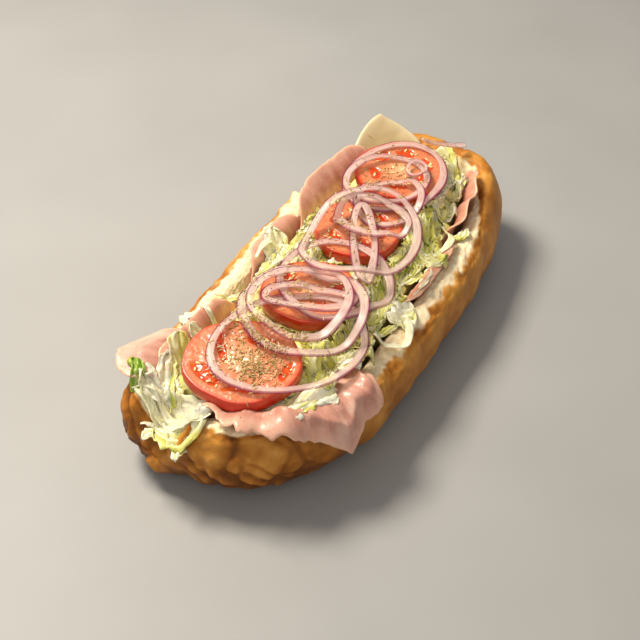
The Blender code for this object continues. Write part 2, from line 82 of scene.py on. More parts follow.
def add_light(name, azimuth, elevation, distance, size, watts, colour):
    """A square area light that faces the sandwich."""
    data = bpy.data.lights.new(name, "AREA")
    data.size = size
    data.energy = watts
    data.color = colour
    light = bpy.data.objects.new(name, data)
    towards = direction(azimuth, elevation)
    light.location = towards * distance
    light.rotation_euler = towards.to_track_quat("Z", "Y").to_euler()
    bpy.context.scene.collection.objects.link(light)


add_light("window", 182.0, 62.0, 0.90, 0.28, 11.0, (1.0, 0.92, 0.78))
add_light("fill", -70.0, 40.0, 1.20, 0.90, 2.6, (1.0, 0.94, 0.86))
world = bpy.data.worlds.new("room")
world.use_nodes = True
world.node_tree.nodes["Background"].inputs["Color"].default_value = (1.0, 0.965, 0.92, 1.0)
world.node_tree.nodes["Background"].inputs["Strength"].default_value = 0.36
bpy.context.scene.world = world
bpy.context.scene.view_settings.view_transform = "Standard"  # keeps the warm colours of the food

# %% [markdown]
# ## Helpers for materials
# A finish is a small network of shader nodes. One helper adds a node and fills its sockets, so
# that each finish below reads as a short list of what happens to the light.

# %% Shader helpers


def new_material(name, roughness=0.5, **shader_values):
    """A material whose Principled shader has these values on its own sockets."""
    material = bpy.data.materials.new(name)
    material.use_nodes = True
    shader = material.node_tree.nodes["Principled BSDF"]
    shader.inputs["Roughness"].default_value = roughness
    for key, value in shader_values.items():
        shader.inputs[key.replace("_", " ")].default_value = value
    return material


def put(material, node, socket, value):
    """Fills a socket with a number, a colour, or another node's output."""
    if isinstance(value, bpy.types.NodeSocket):
        material.node_tree.links.new(value, node.inputs[socket])
    else:
        node.inputs[socket].default_value = value


def finish_with(material, **values):
    """Links outputs to the Principled shader's sockets."""
    for key, value in values.items():
        put(material, material.node_tree.nodes["Principled BSDF"], key.replace("_", " "), value)


def noise(material, scale, detail=3.0, stretch=(1.0, 1.0, 1.0), where="object", distortion=0.0):
    """Cloudy noise; scale is in features for each metre of Object coordinates, or of a mark."""
    nodes = material.node_tree.nodes
    if where == "object":
        source = nodes.new("ShaderNodeTexCoord").outputs["Object"]
    else:
        source = mark(material, where, "Vector")
    mapping = nodes.new("ShaderNodeMapping")
    put(material, mapping, "Vector", source)
    put(material, mapping, "Scale", stretch)
    texture = nodes.new("ShaderNodeTexNoise")
    put(material, texture, "Vector", mapping.outputs["Vector"])
    put(material, texture, "Scale", scale)
    put(material, texture, "Detail", detail)
    put(material, texture, "Distortion", distortion)
    return texture.outputs["Fac"]


def mark(material, name, output="Fac"):
    """A number or vector that the mesh keeps at each of its points."""
    node = material.node_tree.nodes.new("ShaderNodeAttribute")
    node.attribute_name = name
    return node.outputs[output]


def maths(material, operation, *values, clamp=False):
    """One step of arithmetic on shader numbers."""
    node = material.node_tree.nodes.new("ShaderNodeMath")
    node.operation = operation
    node.use_clamp = clamp
    for socket, value in enumerate(values):
        put(material, node, socket, value)
    return node.outputs[0]


def ramp(material, factor, *stops):
    """A colour for each value of a number; stops are (position, (r, g, b))."""
    node = material.node_tree.nodes.new("ShaderNodeValToRGB")
    put(material, node, "Fac", factor)
    elements = node.color_ramp.elements
    while len(elements) < len(stops):
        elements.new(0.5)
    for element, (position, colour) in zip(elements, stops):
        element.position = position
        element.color = (*colour, 1.0)
    return node.outputs["Color"]


def mix(material, factor, first, second, blend="MIX"):
    """A blend of two colours."""
    node = material.node_tree.nodes.new("ShaderNodeMix")
    node.data_type = "RGBA"
    node.blend_type = blend
    put(material, node, 0, factor)
    for socket, value in ((6, first), (7, second)):
        put(material, node, socket, (*value, 1.0) if isinstance(value, tuple) else value)
    return node.outputs[2]


def bump(material, height, distance, strength=1.0, under=None):
    """Fine relief that only bends the light; distance is its depth in metres."""
    node = material.node_tree.nodes.new("ShaderNodeBump")
    put(material, node, "Strength", strength)
    put(material, node, "Distance", distance)
    put(material, node, "Height", height)
    if under is not None:
        put(material, node, "Normal", under)
    return node.outputs["Normal"]


# %% [markdown]
# ## Helpers for shapes
# Every surface here is a grid of points worked out with numpy, as whole arrays. Two kinds of
# noise make it uneven: smooth lumps, and cells with a pit in the middle of each.

# %% Noise on arrays of points


def smooth_step(value, start, end):
    """0 before start and 1 after end, following 3 t^2 - 2 t^3 between them."""
    t = np.clip((np.asarray(value, float) - start) / (end - start), 0.0, 1.0)
    return t * t * (3.0 - 2.0 * t)


def lattice_value(ijk, seed, size=4096):
    """A fixed random number from -1 to 1 for each cell of a cubic lattice."""
    table = np.random.default_rng(seed).uniform(-1.0, 1.0, size)
    key = ijk[..., 0] * 73856093 ^ ijk[..., 1] * 19349663 ^ ijk[..., 2] * 83492791
    return table[key & (size - 1)]


def lumps(points, cell, seed):
    """Smooth noise from -1 to 1: lattice values blended between the eight corners round a point."""
    place_in = points / cell
    base = np.floor(place_in).astype(int)
    t = place_in - base
    t = t * t * (3.0 - 2.0 * t)
    total = 0.0
    for corner in np.ndindex(2, 2, 2):
        share = np.prod(np.where(corner, t, 1.0 - t), axis=-1)
        total = total + share * lattice_value(base + np.array(corner), seed)
    return total


def cells(points, cell, seed):
    """Distances, in cells, from each point to the nearest and second nearest of scattered seeds.

    There is one seed in each cell of a cubic lattice. The first distance makes pits, and the
    second less the first is 0 along the borders between neighbours, which makes creases.
    """
    place_in = points / cell
    base = np.floor(place_in).astype(int)
    first = np.full(points.shape[:-1], 9.0)
    second = first.copy()
    for offset in np.ndindex(3, 3, 3):
        ijk = base + np.array(offset) - 1
        spot = np.stack([0.5 + 0.5 * lattice_value(ijk, seed + axis) for axis in range(3)], axis=-1)
        away = np.linalg.norm(ijk + spot - place_in, axis=-1)
        second = np.minimum(second, np.maximum(first, away))
        first = np.minimum(first, away)
    return first, second


print("lumps at three places:", np.round(lumps(np.eye(3) * 0.1, 0.03, 1), 3))

# %% Meshes from arrays
surfaces = {}  # name: (points, triangles), for things that are dropped on them later


def grid_quads(rows, columns, closed=False):
    """Corner numbers of the quads of a grid of points that is stored row by row."""
    across = columns if closed else columns - 1
    row, column = np.divmod(np.arange((rows - 1) * across), across)
    here = row * columns + column
    beside = row * columns + (column + 1) % columns
    return np.stack([here, beside, beside + columns, here + columns], axis=1)


def long_lid(first, columns):
    """Faces across a long loop, each joining a stretch to the one opposite it."""
    i = np.arange(1, columns // 2 - 1)
    quads = np.stack([i, i + 1, columns - i - 1, columns - i], axis=1) + first
    half = columns // 2
    ends = [(first, first + 1, first + columns - 1), (first + half - 1, first + half, first + half + 1)]
    return quads.tolist() + ends


def shell_faces(rows, columns):
    """Faces of a thin shell: a front grid, a back grid turned over, and the edge between them."""
    back = rows * columns
    front = grid_quads(rows, columns)
    number = np.arange(back).reshape(rows, columns)
    ring = np.concatenate([number[0], number[1:, -1], number[-1, -2::-1], number[-2:0:-1, 0]])
    following = np.roll(ring, -1)
    edge = np.stack([following, ring, ring + back, following + back], axis=1)
    return np.concatenate([front, front[:, ::-1] + back, edge])


def in_triangles(faces):
    """Every face cut into triangles that fan out from its first corner."""
    parts = []
    for size in sorted({len(face) for face in faces}):
        group = np.array([face for face in faces if len(face) == size])
        parts += [group[:, [0, i, i + 1]] for i in range(1, size - 1)]
    return np.concatenate(parts)


def enclosed(points, triangles):
    """Volume inside a closed mesh, as the sum of a . (b x c) / 6 over its triangles."""
    a, b, c = (points[triangles[:, i]] for i in range(3))
    return float(np.einsum("ij,ij->", a, np.cross(b, c)) / 6.0)


def add_piece(name, points, faces, material, slot, stands_for=(), **marks):
    """A smooth closed mesh with its faces outwards, which rides with the sandwich.

    marks are numbers or vectors kept at each point, for the material to read.
    """
    points = points.reshape(-1, 3)
    faces = faces.tolist() if isinstance(faces, np.ndarray) else list(faces)
    triangles = in_triangles(faces)
    volume = enclosed(points, triangles)
    if volume < 0.0:
        faces = [face[::-1] for face in faces]
        triangles = triangles[:, ::-1]
    mesh = bpy.data.meshes.new(name)
    mesh.from_pydata(points.tolist(), [], faces)
    mesh.shade_smooth()
    for key, value in marks.items():
        value = np.asarray(value, np.float32)
        kind, field = ("FLOAT_VECTOR", "vector") if value.size > len(points) else ("FLOAT", "value")
        mesh.attributes.new(key, kind, "POINT").data.foreach_set(field, value.ravel())
    mesh.materials.append(material)
    piece = bpy.data.objects.new(name, mesh)
    bpy.context.scene.collection.objects.link(piece)
    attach(piece, "root")
    if stands_for:
        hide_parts(*stands_for)
    surfaces[name] = (points, triangles)
    print(f"{name}: {len(triangles)} triangles, {abs(volume) * 1e6:.2f} cm3")
    return piece


def node_points(node):
    """The corners of a CAD solid, as an array."""
    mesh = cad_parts[node].data
    points = np.empty(len(mesh.vertices) * 3)
    mesh.vertices.foreach_get("co", points)
    return points.reshape(-1, 3)


def node_tree_of(*nodes):
    """A search tree over the faces of some CAD solids."""
    points, faces, first = [], [], 0
    for node in nodes:
        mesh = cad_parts[node].data
        points.append(node_points(node))
        faces += [tuple(first + i for i in polygon.vertices) for polygon in mesh.polygons]
        first += len(mesh.vertices)
    return BVHTree.FromPolygons(np.concatenate(points).tolist(), faces)


# %% Floor
floor_material = new_material("pale_floor", roughness=0.55)
floor_colour = ramp(floor_material, noise(floor_material, 9.0, 2.0), (0.3, (0.34, 0.335, 0.33)), (0.7, (0.37, 0.365, 0.36)))
finish_with(floor_material, Base_Color=floor_colour)
floor_mesh = bpy.data.meshes.new("floor")
floor_mesh.from_pydata([(-3, -3, 0), (3, -3, 0), (3, 3, 0), (-3, 3, 0)], [], [(0, 1, 2, 3)])
floor_mesh.materials.append(floor_material)
floor = bpy.data.objects.new("floor", floor_mesh)
bpy.context.scene.collection.objects.link(floor)
print("floor laid")

# %% [markdown]
# ## The roll
# A submarine roll is a soft white crumb inside a thin crust. It was slit along its top, so the
# lip is torn and ragged, the cut face is pale and full of holes, and the crust wrinkles at the
# notched end where the halves were pulled apart. One grid of points runs from the underside up
# the crust, over the lip and down the crumb; relief is added along the surface's own normal.

# %% The roll's own coordinates
ROLL_LENGTH = 0.270
ROLL_WIDTH = 0.118
ROLL_MIDDLE = (0.00039, -0.00210)
RIM_HEIGHT = 0.047
FLOOR_HEIGHT = 0.012
OUTLINE_POWERS = (2.8, 4.0, 3.0, 3.2)  # one for each quarter from +X; 2 is an ellipse
SPINE_HALF = ROLL_LENGTH / 2 - ROLL_WIDTH / 2
NOSE_SHIFT = 0.013  # the notched end is bent towards +Y
NOSE_START = -0.0636
LEAN = 0.035  # the +Y wall is taller by this share, and the -Y wall lower
END_LIFT = (0.13, 0.0764, 0.1284)  # the +X end is taller by this share, growing between two x
NOTCH = {"share": 0.478, "half_width": 0.017, "depth": 0.5, "fade": (0.020, 0.034)}


def outline_table():
    """Arc length and points of the widest line: |x / half length|^n + |y / half width|^n = 1."""
    angle = np.linspace(0.0, 2.0 * math.pi, 4001)
    quarter = np.minimum(angle // (0.5 * math.pi), 3).astype(int)
    power = 2.0 / np.array(OUTLINE_POWERS)[quarter]
    cos, sin = np.cos(angle), np.sin(angle)
    x = ROLL_LENGTH / 2 * np.sign(cos) * np.abs(cos) ** power
    y = ROLL_WIDTH / 2 * np.sign(sin) * np.abs(sin) ** power
    return np.concatenate([[0.0], np.cumsum(np.hypot(np.diff(x), np.diff(y)))]), x, y


OUTLINE_ARC, OUTLINE_X, OUTLINE_Y = outline_table()
PERIMETER = OUTLINE_ARC[-1]


def place(share, inset, height):
    """Points in space from a share of the way round, an inset from the outline, and a height.

    An inset shrinks the outline towards the roll's spine, and the nose is then bent aside. The
    height is scaled by the lean and the far end's lift, and cut down in the notch.
    """
    share, inset, height = np.broadcast_arrays(share, inset, height)
    arc = np.mod(share, 1.0) * PERIMETER
    x, y = np.interp(arc, OUTLINE_ARC, OUTLINE_X), np.interp(arc, OUTLINE_ARC, OUTLINE_Y)
    spine = np.clip(x, -SPINE_HALF, SPINE_HALF)
    kept = 1.0 - inset / np.hypot(x - spine, y)
    x, y = ROLL_MIDDLE[0] + spine + (x - spine) * kept, ROLL_MIDDLE[1] + y * kept
    y = y + NOSE_SHIFT * smooth_step(-x, -NOSE_START, ROLL_LENGTH / 2 + 0.0036)
    taller = 1.0 + LEAN * (y - ROLL_MIDDLE[1]) / (ROLL_WIDTH / 2)
    taller = taller + END_LIFT[0] * smooth_step(x, *END_LIFT[1:])
    off = np.abs((np.mod(share, 1.0) - NOTCH["share"]) * PERIMETER)
    cut = NOTCH["depth"] * np.clip(1.0 - off / NOTCH["half_width"], 0.0, 1.0)
    cut = cut * (1.0 - smooth_step(inset, *NOTCH["fade"]))
    return np.stack([x, y, height * taller * (1.0 - cut)], axis=-1)


def share_at(x, side):
    """The share of the way round where the outline passes x, on the +Y side (1) or the -Y side (-1)."""
    half = len(OUTLINE_X) // 2
    x = x - ROLL_MIDDLE[0]
    if side > 0:
        return np.interp(-x, -OUTLINE_X[: half + 1], OUTLINE_ARC[: half + 1]) / PERIMETER
    return np.interp(x, OUTLINE_X[half:], OUTLINE_ARC[half:]) / PERIMETER


print("way round the roll:", round(PERIMETER, 4), "m")

# %% The wall's cross-section
CRUST_LINE = ((0.034, 0.0), (0.022, 0.0012), (0.009, 0.0075), (0.0015, 0.0165), (0.0, 0.027))
UPPER_LINE = ((0.0025, 0.0375), (0.0065, 0.0445), (0.0095, RIM_HEIGHT))  # (inset, height) near the ends
SPLAYED_LINE = ((0.0003, 0.0360), (0.0025, 0.0413), (0.0095, 0.0462))  # where the cut face leans out
CRUMB_LINE = ((0.0165, 0.0455), (0.0195, 0.038), (0.022, 0.027), (0.027, 0.0165), (0.037, FLOOR_HEIGHT))
SPLAY = ((-0.1036, -0.0756), (0.0414, 0.0814))


def rounded(corners, passes=3):
    """A line whose corners are cut at a quarter and three quarters of each side, again and again."""
    line = np.array(corners, float)
    for _ in range(passes):
        near, far = 0.75 * line[:-1] + 0.25 * line[1:], 0.25 * line[:-1] + 0.75 * line[1:]
        line = np.concatenate([line[:1], np.stack([near, far], axis=1).reshape(-1, 2), line[-1:]])
    return line


def arc_of(line):
    """Length along a line, up to each of its points."""
    return np.concatenate([[0.0], np.cumsum(np.linalg.norm(np.diff(line, axis=0), axis=1))])


wall_line = rounded(CRUST_LINE + UPPER_LINE + CRUMB_LINE)
splayed_line = rounded(CRUST_LINE + SPLAYED_LINE + CRUMB_LINE)
wall_arc = arc_of(wall_line)
lip_arc = wall_arc[np.argmin(np.linalg.norm(wall_line - (0.0068, 0.0448), axis=1))]
print("from the underside to the lip:", round(float(lip_arc), 4), "of", round(float(wall_arc[-1]), 4))

# %% Relief of the crust
FOLDS = (  # the torn nose: (share of the way round, half width, depth)
    (0.512, 0.006, 0.0020),
    (0.541, 0.007, 0.0022),
    (0.574, 0.007, 0.0014),
    (0.452, 0.007, 0.0016),
)
TORN_CRUMBS = (  # lumps of crumb that stick up where the lip tore: (x, y, radius, height)
    (-0.0600, -0.0590, 0.0045, 0.0042), (-0.0520, -0.0600, 0.0030, 0.0020), (0.0370, 0.0500, 0.0040, 0.0030),
    (0.0470, 0.0480, 0.0040, 0.0032), (-0.1200, 0.0510, 0.0040, 0.0030), (-0.1260, 0.0460, 0.0030, 0.0024),
    (0.0000, -0.0600, 0.0030, 0.0018), (0.0900, -0.0470, 0.0035, 0.0022), (0.1200, -0.0200, 0.0040, 0.0022),
)


def fold_relief(share, height):
    """Folds on the nose: a sharp crease, exp(-2|off|), between two shoulders that bulge."""
    relief = 0.0
    for centre, half_width, depth in FOLDS:
        off = (share - centre) / half_width + 90.0 * (height - 0.03) + 1.2 * np.sin(190.0 * height + 40.0 * centre)
        crease = np.exp(-2.2 * np.abs(off)) * 1.15
        shoulders = 0.35 * np.exp(-(((np.abs(off) - 1.5) / 0.7) ** 2))
        relief = relief - depth * (crease - shoulders)
    return relief * smooth_step(height, 0.001, 0.016)


def crust_relief(share, height, points, past_lip):
    """How far the skin stands out, in metres; past_lip is the distance beyond the crust's edge."""
    turn = 2.0 * math.pi * share
    waves = np.sin(7 * turn + 1.0) + np.sin(13 * turn + 90.0 * height) + np.sin(23 * turn - 60.0 * height)
    near_lip = np.exp(-((past_lip / 0.0035) ** 2))
    crumb = smooth_step(past_lip, 0.0, 0.0012)
    nose = smooth_step(-points[..., 0], 0.088, 0.118)
    bent = points + 0.004 * lumps(points, 0.013, 27)[..., None]
    bent = bent * np.array([1.0, 1.0, 0.8]) + bent[..., 2:] * np.array([0.5, -0.5, 0.0])
    first, second = cells(bent, 0.0185, 13)
    some = smooth_step(lumps(points, 0.021, 28), -0.55, 0.25)
    crackle = (smooth_step(second - first, 0.0, 0.17) - 1.0) * some + 0.35 * (0.5 - first)
    wrinkles = lumps(points * np.array([1.0, 1.0, 0.4]) + 0.5 * points[..., 2:], 0.0045, 29)
    relief = -0.00030 * waves + 0.75 * fold_relief(share, height)
    relief = relief + ((0.0002 + 0.0011 * nose) * crackle + 0.0004 * nose * wrinkles) * (1.0 - crumb) * smooth_step(height, 0.004, 0.016)
    relief = relief + 0.0005 * lumps(points, 0.011, 11) + (0.00030 + 0.0002 * nose) * lumps(points, 0.0042, 12) * (1.0 - crumb)
    relief = relief + 0.00016 * lumps(points, 0.0016, 24)
    relief = relief + near_lip * (0.0009 * lumps(points, 0.0065, 14) + 0.0006 * lumps(points, 0.0024, 15))
    holes = smooth_step(cells(points, 0.0017, 16)[0], 0.55, 0.15)
    big_holes = smooth_step(cells(points, 0.0042, 26)[0], 0.40, 0.12)
    relief = relief + crumb * (0.0004 * lumps(points, 0.0030, 17) - 0.0005 * holes - 0.0006 * big_holes)
    for x, y, radius, height_up in TORN_CRUMBS:
        near = np.exp(-((points[..., 0] - x) ** 2 + (points[..., 1] - y) ** 2) / radius**2)
        rough = 0.75 + 0.6 * lumps(points, 0.0020, 18)
        relief = relief + height_up * near * rough * smooth_step(past_lip, -0.003, 0.001)
    return relief


# %% Build the roll
AROUND = 620
NOSE_DENSITY = 0.42  # how much closer together the points are at the notched end


def even_steps(*stops):
    """Positions from stop to stop, each stop given with the number of steps that lead to it."""
    parts = [[stops[0][0]]]
    for (start, _), (end, count) in zip(stops[:-1], stops[1:]):
        parts.append(np.linspace(start, end, count + 1)[1:])
    return np.concatenate(parts)


def roll_grid():
    """The roll's points, row by row, with the marks that its finish reads."""
    t = np.arange(AROUND) / AROUND
    share = (t + NOSE_DENSITY / (2.0 * math.pi) * np.sin(2.0 * math.pi * t))[None, :]
    run = even_steps((0.0, 0), (0.012, 3), (lip_arc - 0.004, 62), (lip_arc + 0.013, 46), (wall_arc[-1], 18))
    x = place(share, 0.0, 0.0)[..., 0]
    splay = smooth_step(x, *SPLAY[0]) * (1.0 - smooth_step(x, *SPLAY[1]))
    lines = [np.stack([np.interp(run, wall_arc, line[:, i]) for i in (0, 1)]) for line in (wall_line, splayed_line)]
    inset, height = lines[0][:, :, None] + splay * (lines[1] - lines[0])[:, :, None]
    slope = np.stack([np.gradient(inset, axis=0), np.gradient(height, axis=0)])
    slope = slope / np.linalg.norm(slope, axis=0)
    smooth = place(share, inset, height)
    ragged = 0.0013 * lumps(smooth, 0.0060, 19) + 0.0008 * lumps(smooth, 0.0022, 20)
    past_lip = run[:, None] - lip_arc - 0.0008 - 0.0082 * smooth_step(x, 0.060, 0.112) + ragged
    relief = crust_relief(share, height, smooth, past_lip) * smooth_step(run, 0.004, 0.014)[:, None]
    points = place(share, inset - relief * slope[1], height + relief * slope[0])
    return points, past_lip, relief, height


roll_points, past_lip, folds, roll_height = roll_grid()
crumb_mark = smooth_step(past_lip, 0.0002, 0.0016)
# How dark the crust is: random patches of baking, darker on its lower part, and darker over the nose, which is painted
# shade of the end that faces away from the light. Paler towards the lip.
bake = 0.46 + 0.22 * lumps(roll_points, 0.030, 21) + 0.16 * lumps(roll_points, 0.009, 22)
bake = bake + 0.17 * smooth_step(-roll_points[..., 0], 0.090, 0.120) + 0.40 * smooth_step(roll_height, 0.030, 0.006) - 0.20 * smooth_step(past_lip, -0.006, -0.0005)
# Painted shade in every hollow of the crust's relief, the creases of the nose's folds among them, and a painted
# highlight on every raised part and shoulder.
bake = bake + np.clip(-folds / 0.0022, -0.45, 0.6) * 0.50
bake = bake + 0.26 * np.exp(-(((past_lip + 0.0009) / 0.0011) ** 2)) - 0.6 * smooth_step(roll_height, 0.0015, 0.0)
print("roll rows and columns:", roll_points.shape[:2], "bake from", round(float(bake.min()), 2), "to", round(float(bake.max()), 2))

# %% Crust and crumb
bread = new_material("bread", Subsurface_Weight=0.08, Subsurface_Radius=(1.0, 0.6, 0.3), Subsurface_Scale=0.003, Specular_IOR_Level=0.25)
patches = maths(bread, "MULTIPLY_ADD", noise(bread, 260.0, 4.0), 0.34, -0.17)
bread_bake = maths(bread, "ADD", mark(bread, "bake"), patches, clamp=True)
crust_colour = ramp(
    bread, bread_bake,
    (0.00, (0.76, 0.43, 0.125)), (0.28, (0.63, 0.285, 0.050)), (0.55, (0.46, 0.170, 0.018)), (0.80, (0.30, 0.098, 0.008)), (1.0, (0.16, 0.048, 0.004)),
)
crumb_colour = ramp(bread, noise(bread, 330.0, 3.0), (0.30, (0.87, 0.65, 0.37)), (0.62, (0.95, 0.82, 0.57)))
bread_colour = mix(bread, mark(bread, "crumb"), crust_colour, crumb_colour)
bread_rough = maths(bread, "MULTIPLY_ADD", mark(bread, "crumb"), 0.40, 0.45)
grain = bump(bread, noise(bread, 1500.0, 3.0), 0.0004, 0.5)
finish_with(bread, Base_Color=bread_colour, Roughness=bread_rough, Normal=bump(bread, noise(bread, 420.0, 4.0), 0.0006, 0.55, grain))
rows = len(roll_points)
roll_faces = grid_quads(rows, AROUND, closed=True).tolist()
roll_faces += [face[::-1] for face in long_lid(0, AROUND)] + long_lid((rows - 1) * AROUND, AROUND)
add_piece("bread_roll", roll_points, roll_faces, bread, "crust", ["roll"], crumb=crumb_mark, bake=bake)

# %% [markdown]
# ## Ham and cheese
# Each slice stands on the floor of the roll, climbs its wall and ends past the rim, so its shape
# is one line up the wall, carried along the wall. The slices are thin shells, thinner still at
# their torn edges, where light comes through.

# %% The way up the wall
HAM_THICKNESS = 0.0013
CHEESE_THICKNESS = 0.0022
SHEET_FOOT = 0.050


def lining_path(beyond):
    """Arc length, outward position, height and inward normal along a sheet's way up and out."""
    inner = [(-inset, height) for inset, height in reversed(CRUMB_LINE[1:])]
    path = rounded([(-SHEET_FOOT, FLOOR_HEIGHT)] + inner + [(-0.0179, 0.0465)] + list(beyond))
    arc = arc_of(path)
    along = np.gradient(path, arc, axis=0)
    along = along / np.linalg.norm(along, axis=1)[:, None]
    return arc, path, np.stack([-along[:, 1], along[:, 0]], axis=1)


def reach_along(top, u):
    """The share of its way that a sheet covers at u, where -1 and 1 are its two side edges."""
    if top == "broad":
        return 1.0 - 0.24 * np.abs(u) ** 5
    if top == "corner":  # bulging on one side of the corner and hollow on the other
        return 1.0 - np.where(u > 0.0, 0.34 * np.abs(u) ** 1.6, 0.36 * np.abs(u) ** 0.8)
    return np.interp(u, *zip(*top))


def add_sheet(node, material, slot, share, half_length, layer, beyond, top, ruffle=(0.0, 0.0, 0.0), ragged=0.010, pale=0.0, folds=0.0):
    """A slice along the wall. layer is its distance from the crumb, beyond its points past the rim
    as (outward, height), top its outline, and ruffle the depth, number and phase of its waves."""
    arc, path, normal = lining_path(beyond)
    seed = 100 + sum(map(ord, node))
    thickness = CHEESE_THICKNESS if node == "cheese" else HAM_THICKNESS
    u = np.linspace(-1.0, 1.0, 100)[None, :]
    row = np.linspace(0.0, 1.0, 64)[:, None] ** 0.8
    on_edge = np.stack([u * half_length, 0.0 * u, 0.0 * u], axis=-1)
    torn = lumps(on_edge, 0.006, seed) + 0.5 * lumps(on_edge, 0.0022, seed + 1)
    end = arc[-1] * (reach_along(top, u) + ragged * torn)
    run = row * end
    outward, height = np.interp(run, arc, path[:, 0]), np.interp(run, arc, path[:, 1])
    normal_out, normal_up = np.interp(run, arc, normal[:, 0]), np.interp(run, arc, normal[:, 1])
    depth, waves, phase = ruffle
    late = smooth_step(run / end, 0.55, 1.0)
    wave = depth * 0.5 * (1.0 + np.sin(waves * math.pi * u + phase)) * late
    along = share + u * half_length / PERIMETER * (1.0 + 0.02 * lumps(np.stack([0 * run, run, 0 * run], -1), 0.008, seed + 2))
    flat = place(along, -outward, height)
    wave = wave + (0.00035 * lumps(flat, 0.012, seed + 3) + 0.0002 * lumps(flat, 0.004, seed + 4)) * late
    wave = wave + folds * np.abs(lumps(flat, 0.016, seed + 5)) * late
    wave = wave + 0.7 * folds * np.exp(-(((run / end - 0.86 - 0.05 * lumps(flat, 0.030, seed + 6)) / 0.030) ** 2))
    from_edge = np.minimum((1.0 - row) * end, (1.0 - np.abs(u)) * half_length)
    thin = thickness * np.sqrt(np.clip(from_edge / 0.0012, 0.06, 1.0))
    sides = []
    for side in (-0.5, 0.5):
        reach = layer + wave + side * thin
        sides.append(place(along, -(outward + reach * normal_out), height + reach * normal_up))
    # 1 at a slice's rim, where the ham and cheese finishes paint a lit rim.
    edge = np.exp(-from_edge / 0.0025)
    fading = pale * (0.6 + 0.7 * smooth_step(from_edge, 0.010, 0.001))
    faces = shell_faces(len(row), u.shape[1])
    flow = np.stack([u * half_length + 0.0 * run, run, 0.0 * run], axis=-1)
    return add_piece(
        "slice_" + node, np.array(sides), faces, material, slot, [node],
        edge=np.array([edge, edge]), flow=np.array([flow, flow]), pale=np.array([fading, fading]),
    )


# %% Ham finish
ham = new_material(
    "ham", roughness=0.33, Subsurface_Weight=0.30, Subsurface_Radius=(1.0, 0.35, 0.22),
    Subsurface_Scale=0.003, Specular_IOR_Level=0.55,
)
ham_fibres = noise(ham, 210.0, 4.0, (1.0, 0.45, 1.0), "flow", 0.6)
ham_meat = ramp(ham, ham_fibres, (0.28, (0.46, 0.165, 0.110)), (0.48, (0.57, 0.245, 0.175)), (0.64, (0.68, 0.34, 0.25)), (0.82, (0.80, 0.52, 0.41)))
ham_fat = ramp(ham, noise(ham, 75.0, 4.0, (1.0, 0.5, 1.0), "flow", 0.8), (0.56, (0.0, 0.0, 0.0)), (0.68, (1.0, 1.0, 1.0)))
ham_meat = mix(ham, maths(ham, "MULTIPLY", ham_fat, 0.45), ham_meat, (0.84, 0.60, 0.49))
ham_flecks = ramp(ham, noise(ham, 1100.0, 2.0), (0.60, (0.0, 0.0, 0.0)), (0.74, (1.0, 1.0, 1.0)))
ham_meat = mix(ham, maths(ham, "MULTIPLY", ham_flecks, 0.35), ham_meat, (0.88, 0.64, 0.52))
ham_meat = mix(ham, maths(ham, "MULTIPLY", mark(ham, "pale"), 0.60), ham_meat, (0.84, 0.57, 0.47))
# Painted light: the slice's torn edges are turned orange, a painted glow of light coming through them.
ham_colour = mix(ham, maths(ham, "MULTIPLY", mark(ham, "edge"), 0.75), ham_meat, (0.88, 0.50, 0.32))
finish_with(ham, Base_Color=ham_colour, Normal=bump(ham, noise(ham, 700.0, 3.0), 0.0004, 0.45))
print("ham nodes:", len(ham.node_tree.nodes))

# %% Cheese finish
cheese = new_material(
    "cheese", roughness=0.36, Subsurface_Weight=0.30, Subsurface_Radius=(1.0, 0.7, 0.35), Subsurface_Scale=0.004,
)
cheese_colour = ramp(cheese, noise(cheese, 40.0, 3.0), (0.3, (0.56, 0.43, 0.23)), (0.7, (0.62, 0.49, 0.28)))
# Painted light: paler towards the cheese's edges, a painted lit rim.
cheese_colour = mix(cheese, maths(cheese, "MULTIPLY", mark(cheese, "edge"), 0.5), cheese_colour, (0.84, 0.75, 0.54))
finish_with(cheese, Base_Color=cheese_colour, Normal=bump(cheese, noise(cheese, 500.0, 2.0), 0.0003, 0.25))
print("cheese nodes:", len(cheese.node_tree.nodes))

# %% Slices along the +Y wall
OUTER_LAYER = 0.0017  # from the crumb to the middle of a slice
INNER_LAYER = 0.0046
CHEESE_LAYER = 0.0022
OVER_CHEESE_LAYER = 0.0056
CAD_SHIFT = -0.00361  # the slices were first placed on a roll that lay this much further along

add_sheet(
    "cheese", cheese, "cheese", share_at(0.1240 + CAD_SHIFT, 1), 0.056, CHEESE_LAYER,
    [(-0.0150, 0.0490), (-0.0120, 0.0520), (-0.0070, 0.0553), (-0.0050, 0.0563)], "corner", ragged=0.0,
)
add_sheet(
    "ham_left_near", ham, "ham", share_at(-0.1030 + CAD_SHIFT, 1), 0.024, OUTER_LAYER,
    [(-0.0115, 0.0514), (-0.0060, 0.0510), (-0.0005, 0.0500), (0.0040, 0.0500)],
    ((-1.0, 0.80), (-0.5, 0.89), (0.0, 1.0), (0.35, 0.95), (1.0, 0.86)), pale=0.8, folds=0.0012,
)
add_sheet(
    "ham_left_second", ham, "ham", share_at(-0.0840 + CAD_SHIFT, 1), 0.045, INNER_LAYER,
    [(-0.0160, 0.0500), (-0.0135, 0.0515)], "broad", ruffle=(0.0010, 2.0, 0.4),
)
add_sheet(
    "ham_left_third", ham, "ham", share_at(0.0070 + CAD_SHIFT, 1), 0.029, OUTER_LAYER,
    [(-0.0160, 0.0490), (-0.0118, 0.0504)], "broad", pale=0.35,
)
add_sheet(
    "ham_left_far", ham, "ham", share_at(0.0680 + CAD_SHIFT, 1), 0.043, OVER_CHEESE_LAYER,
    [(-0.0165, 0.0500), (-0.0140, 0.0530), (-0.0105, 0.0560)], "broad", pale=0.35,
)

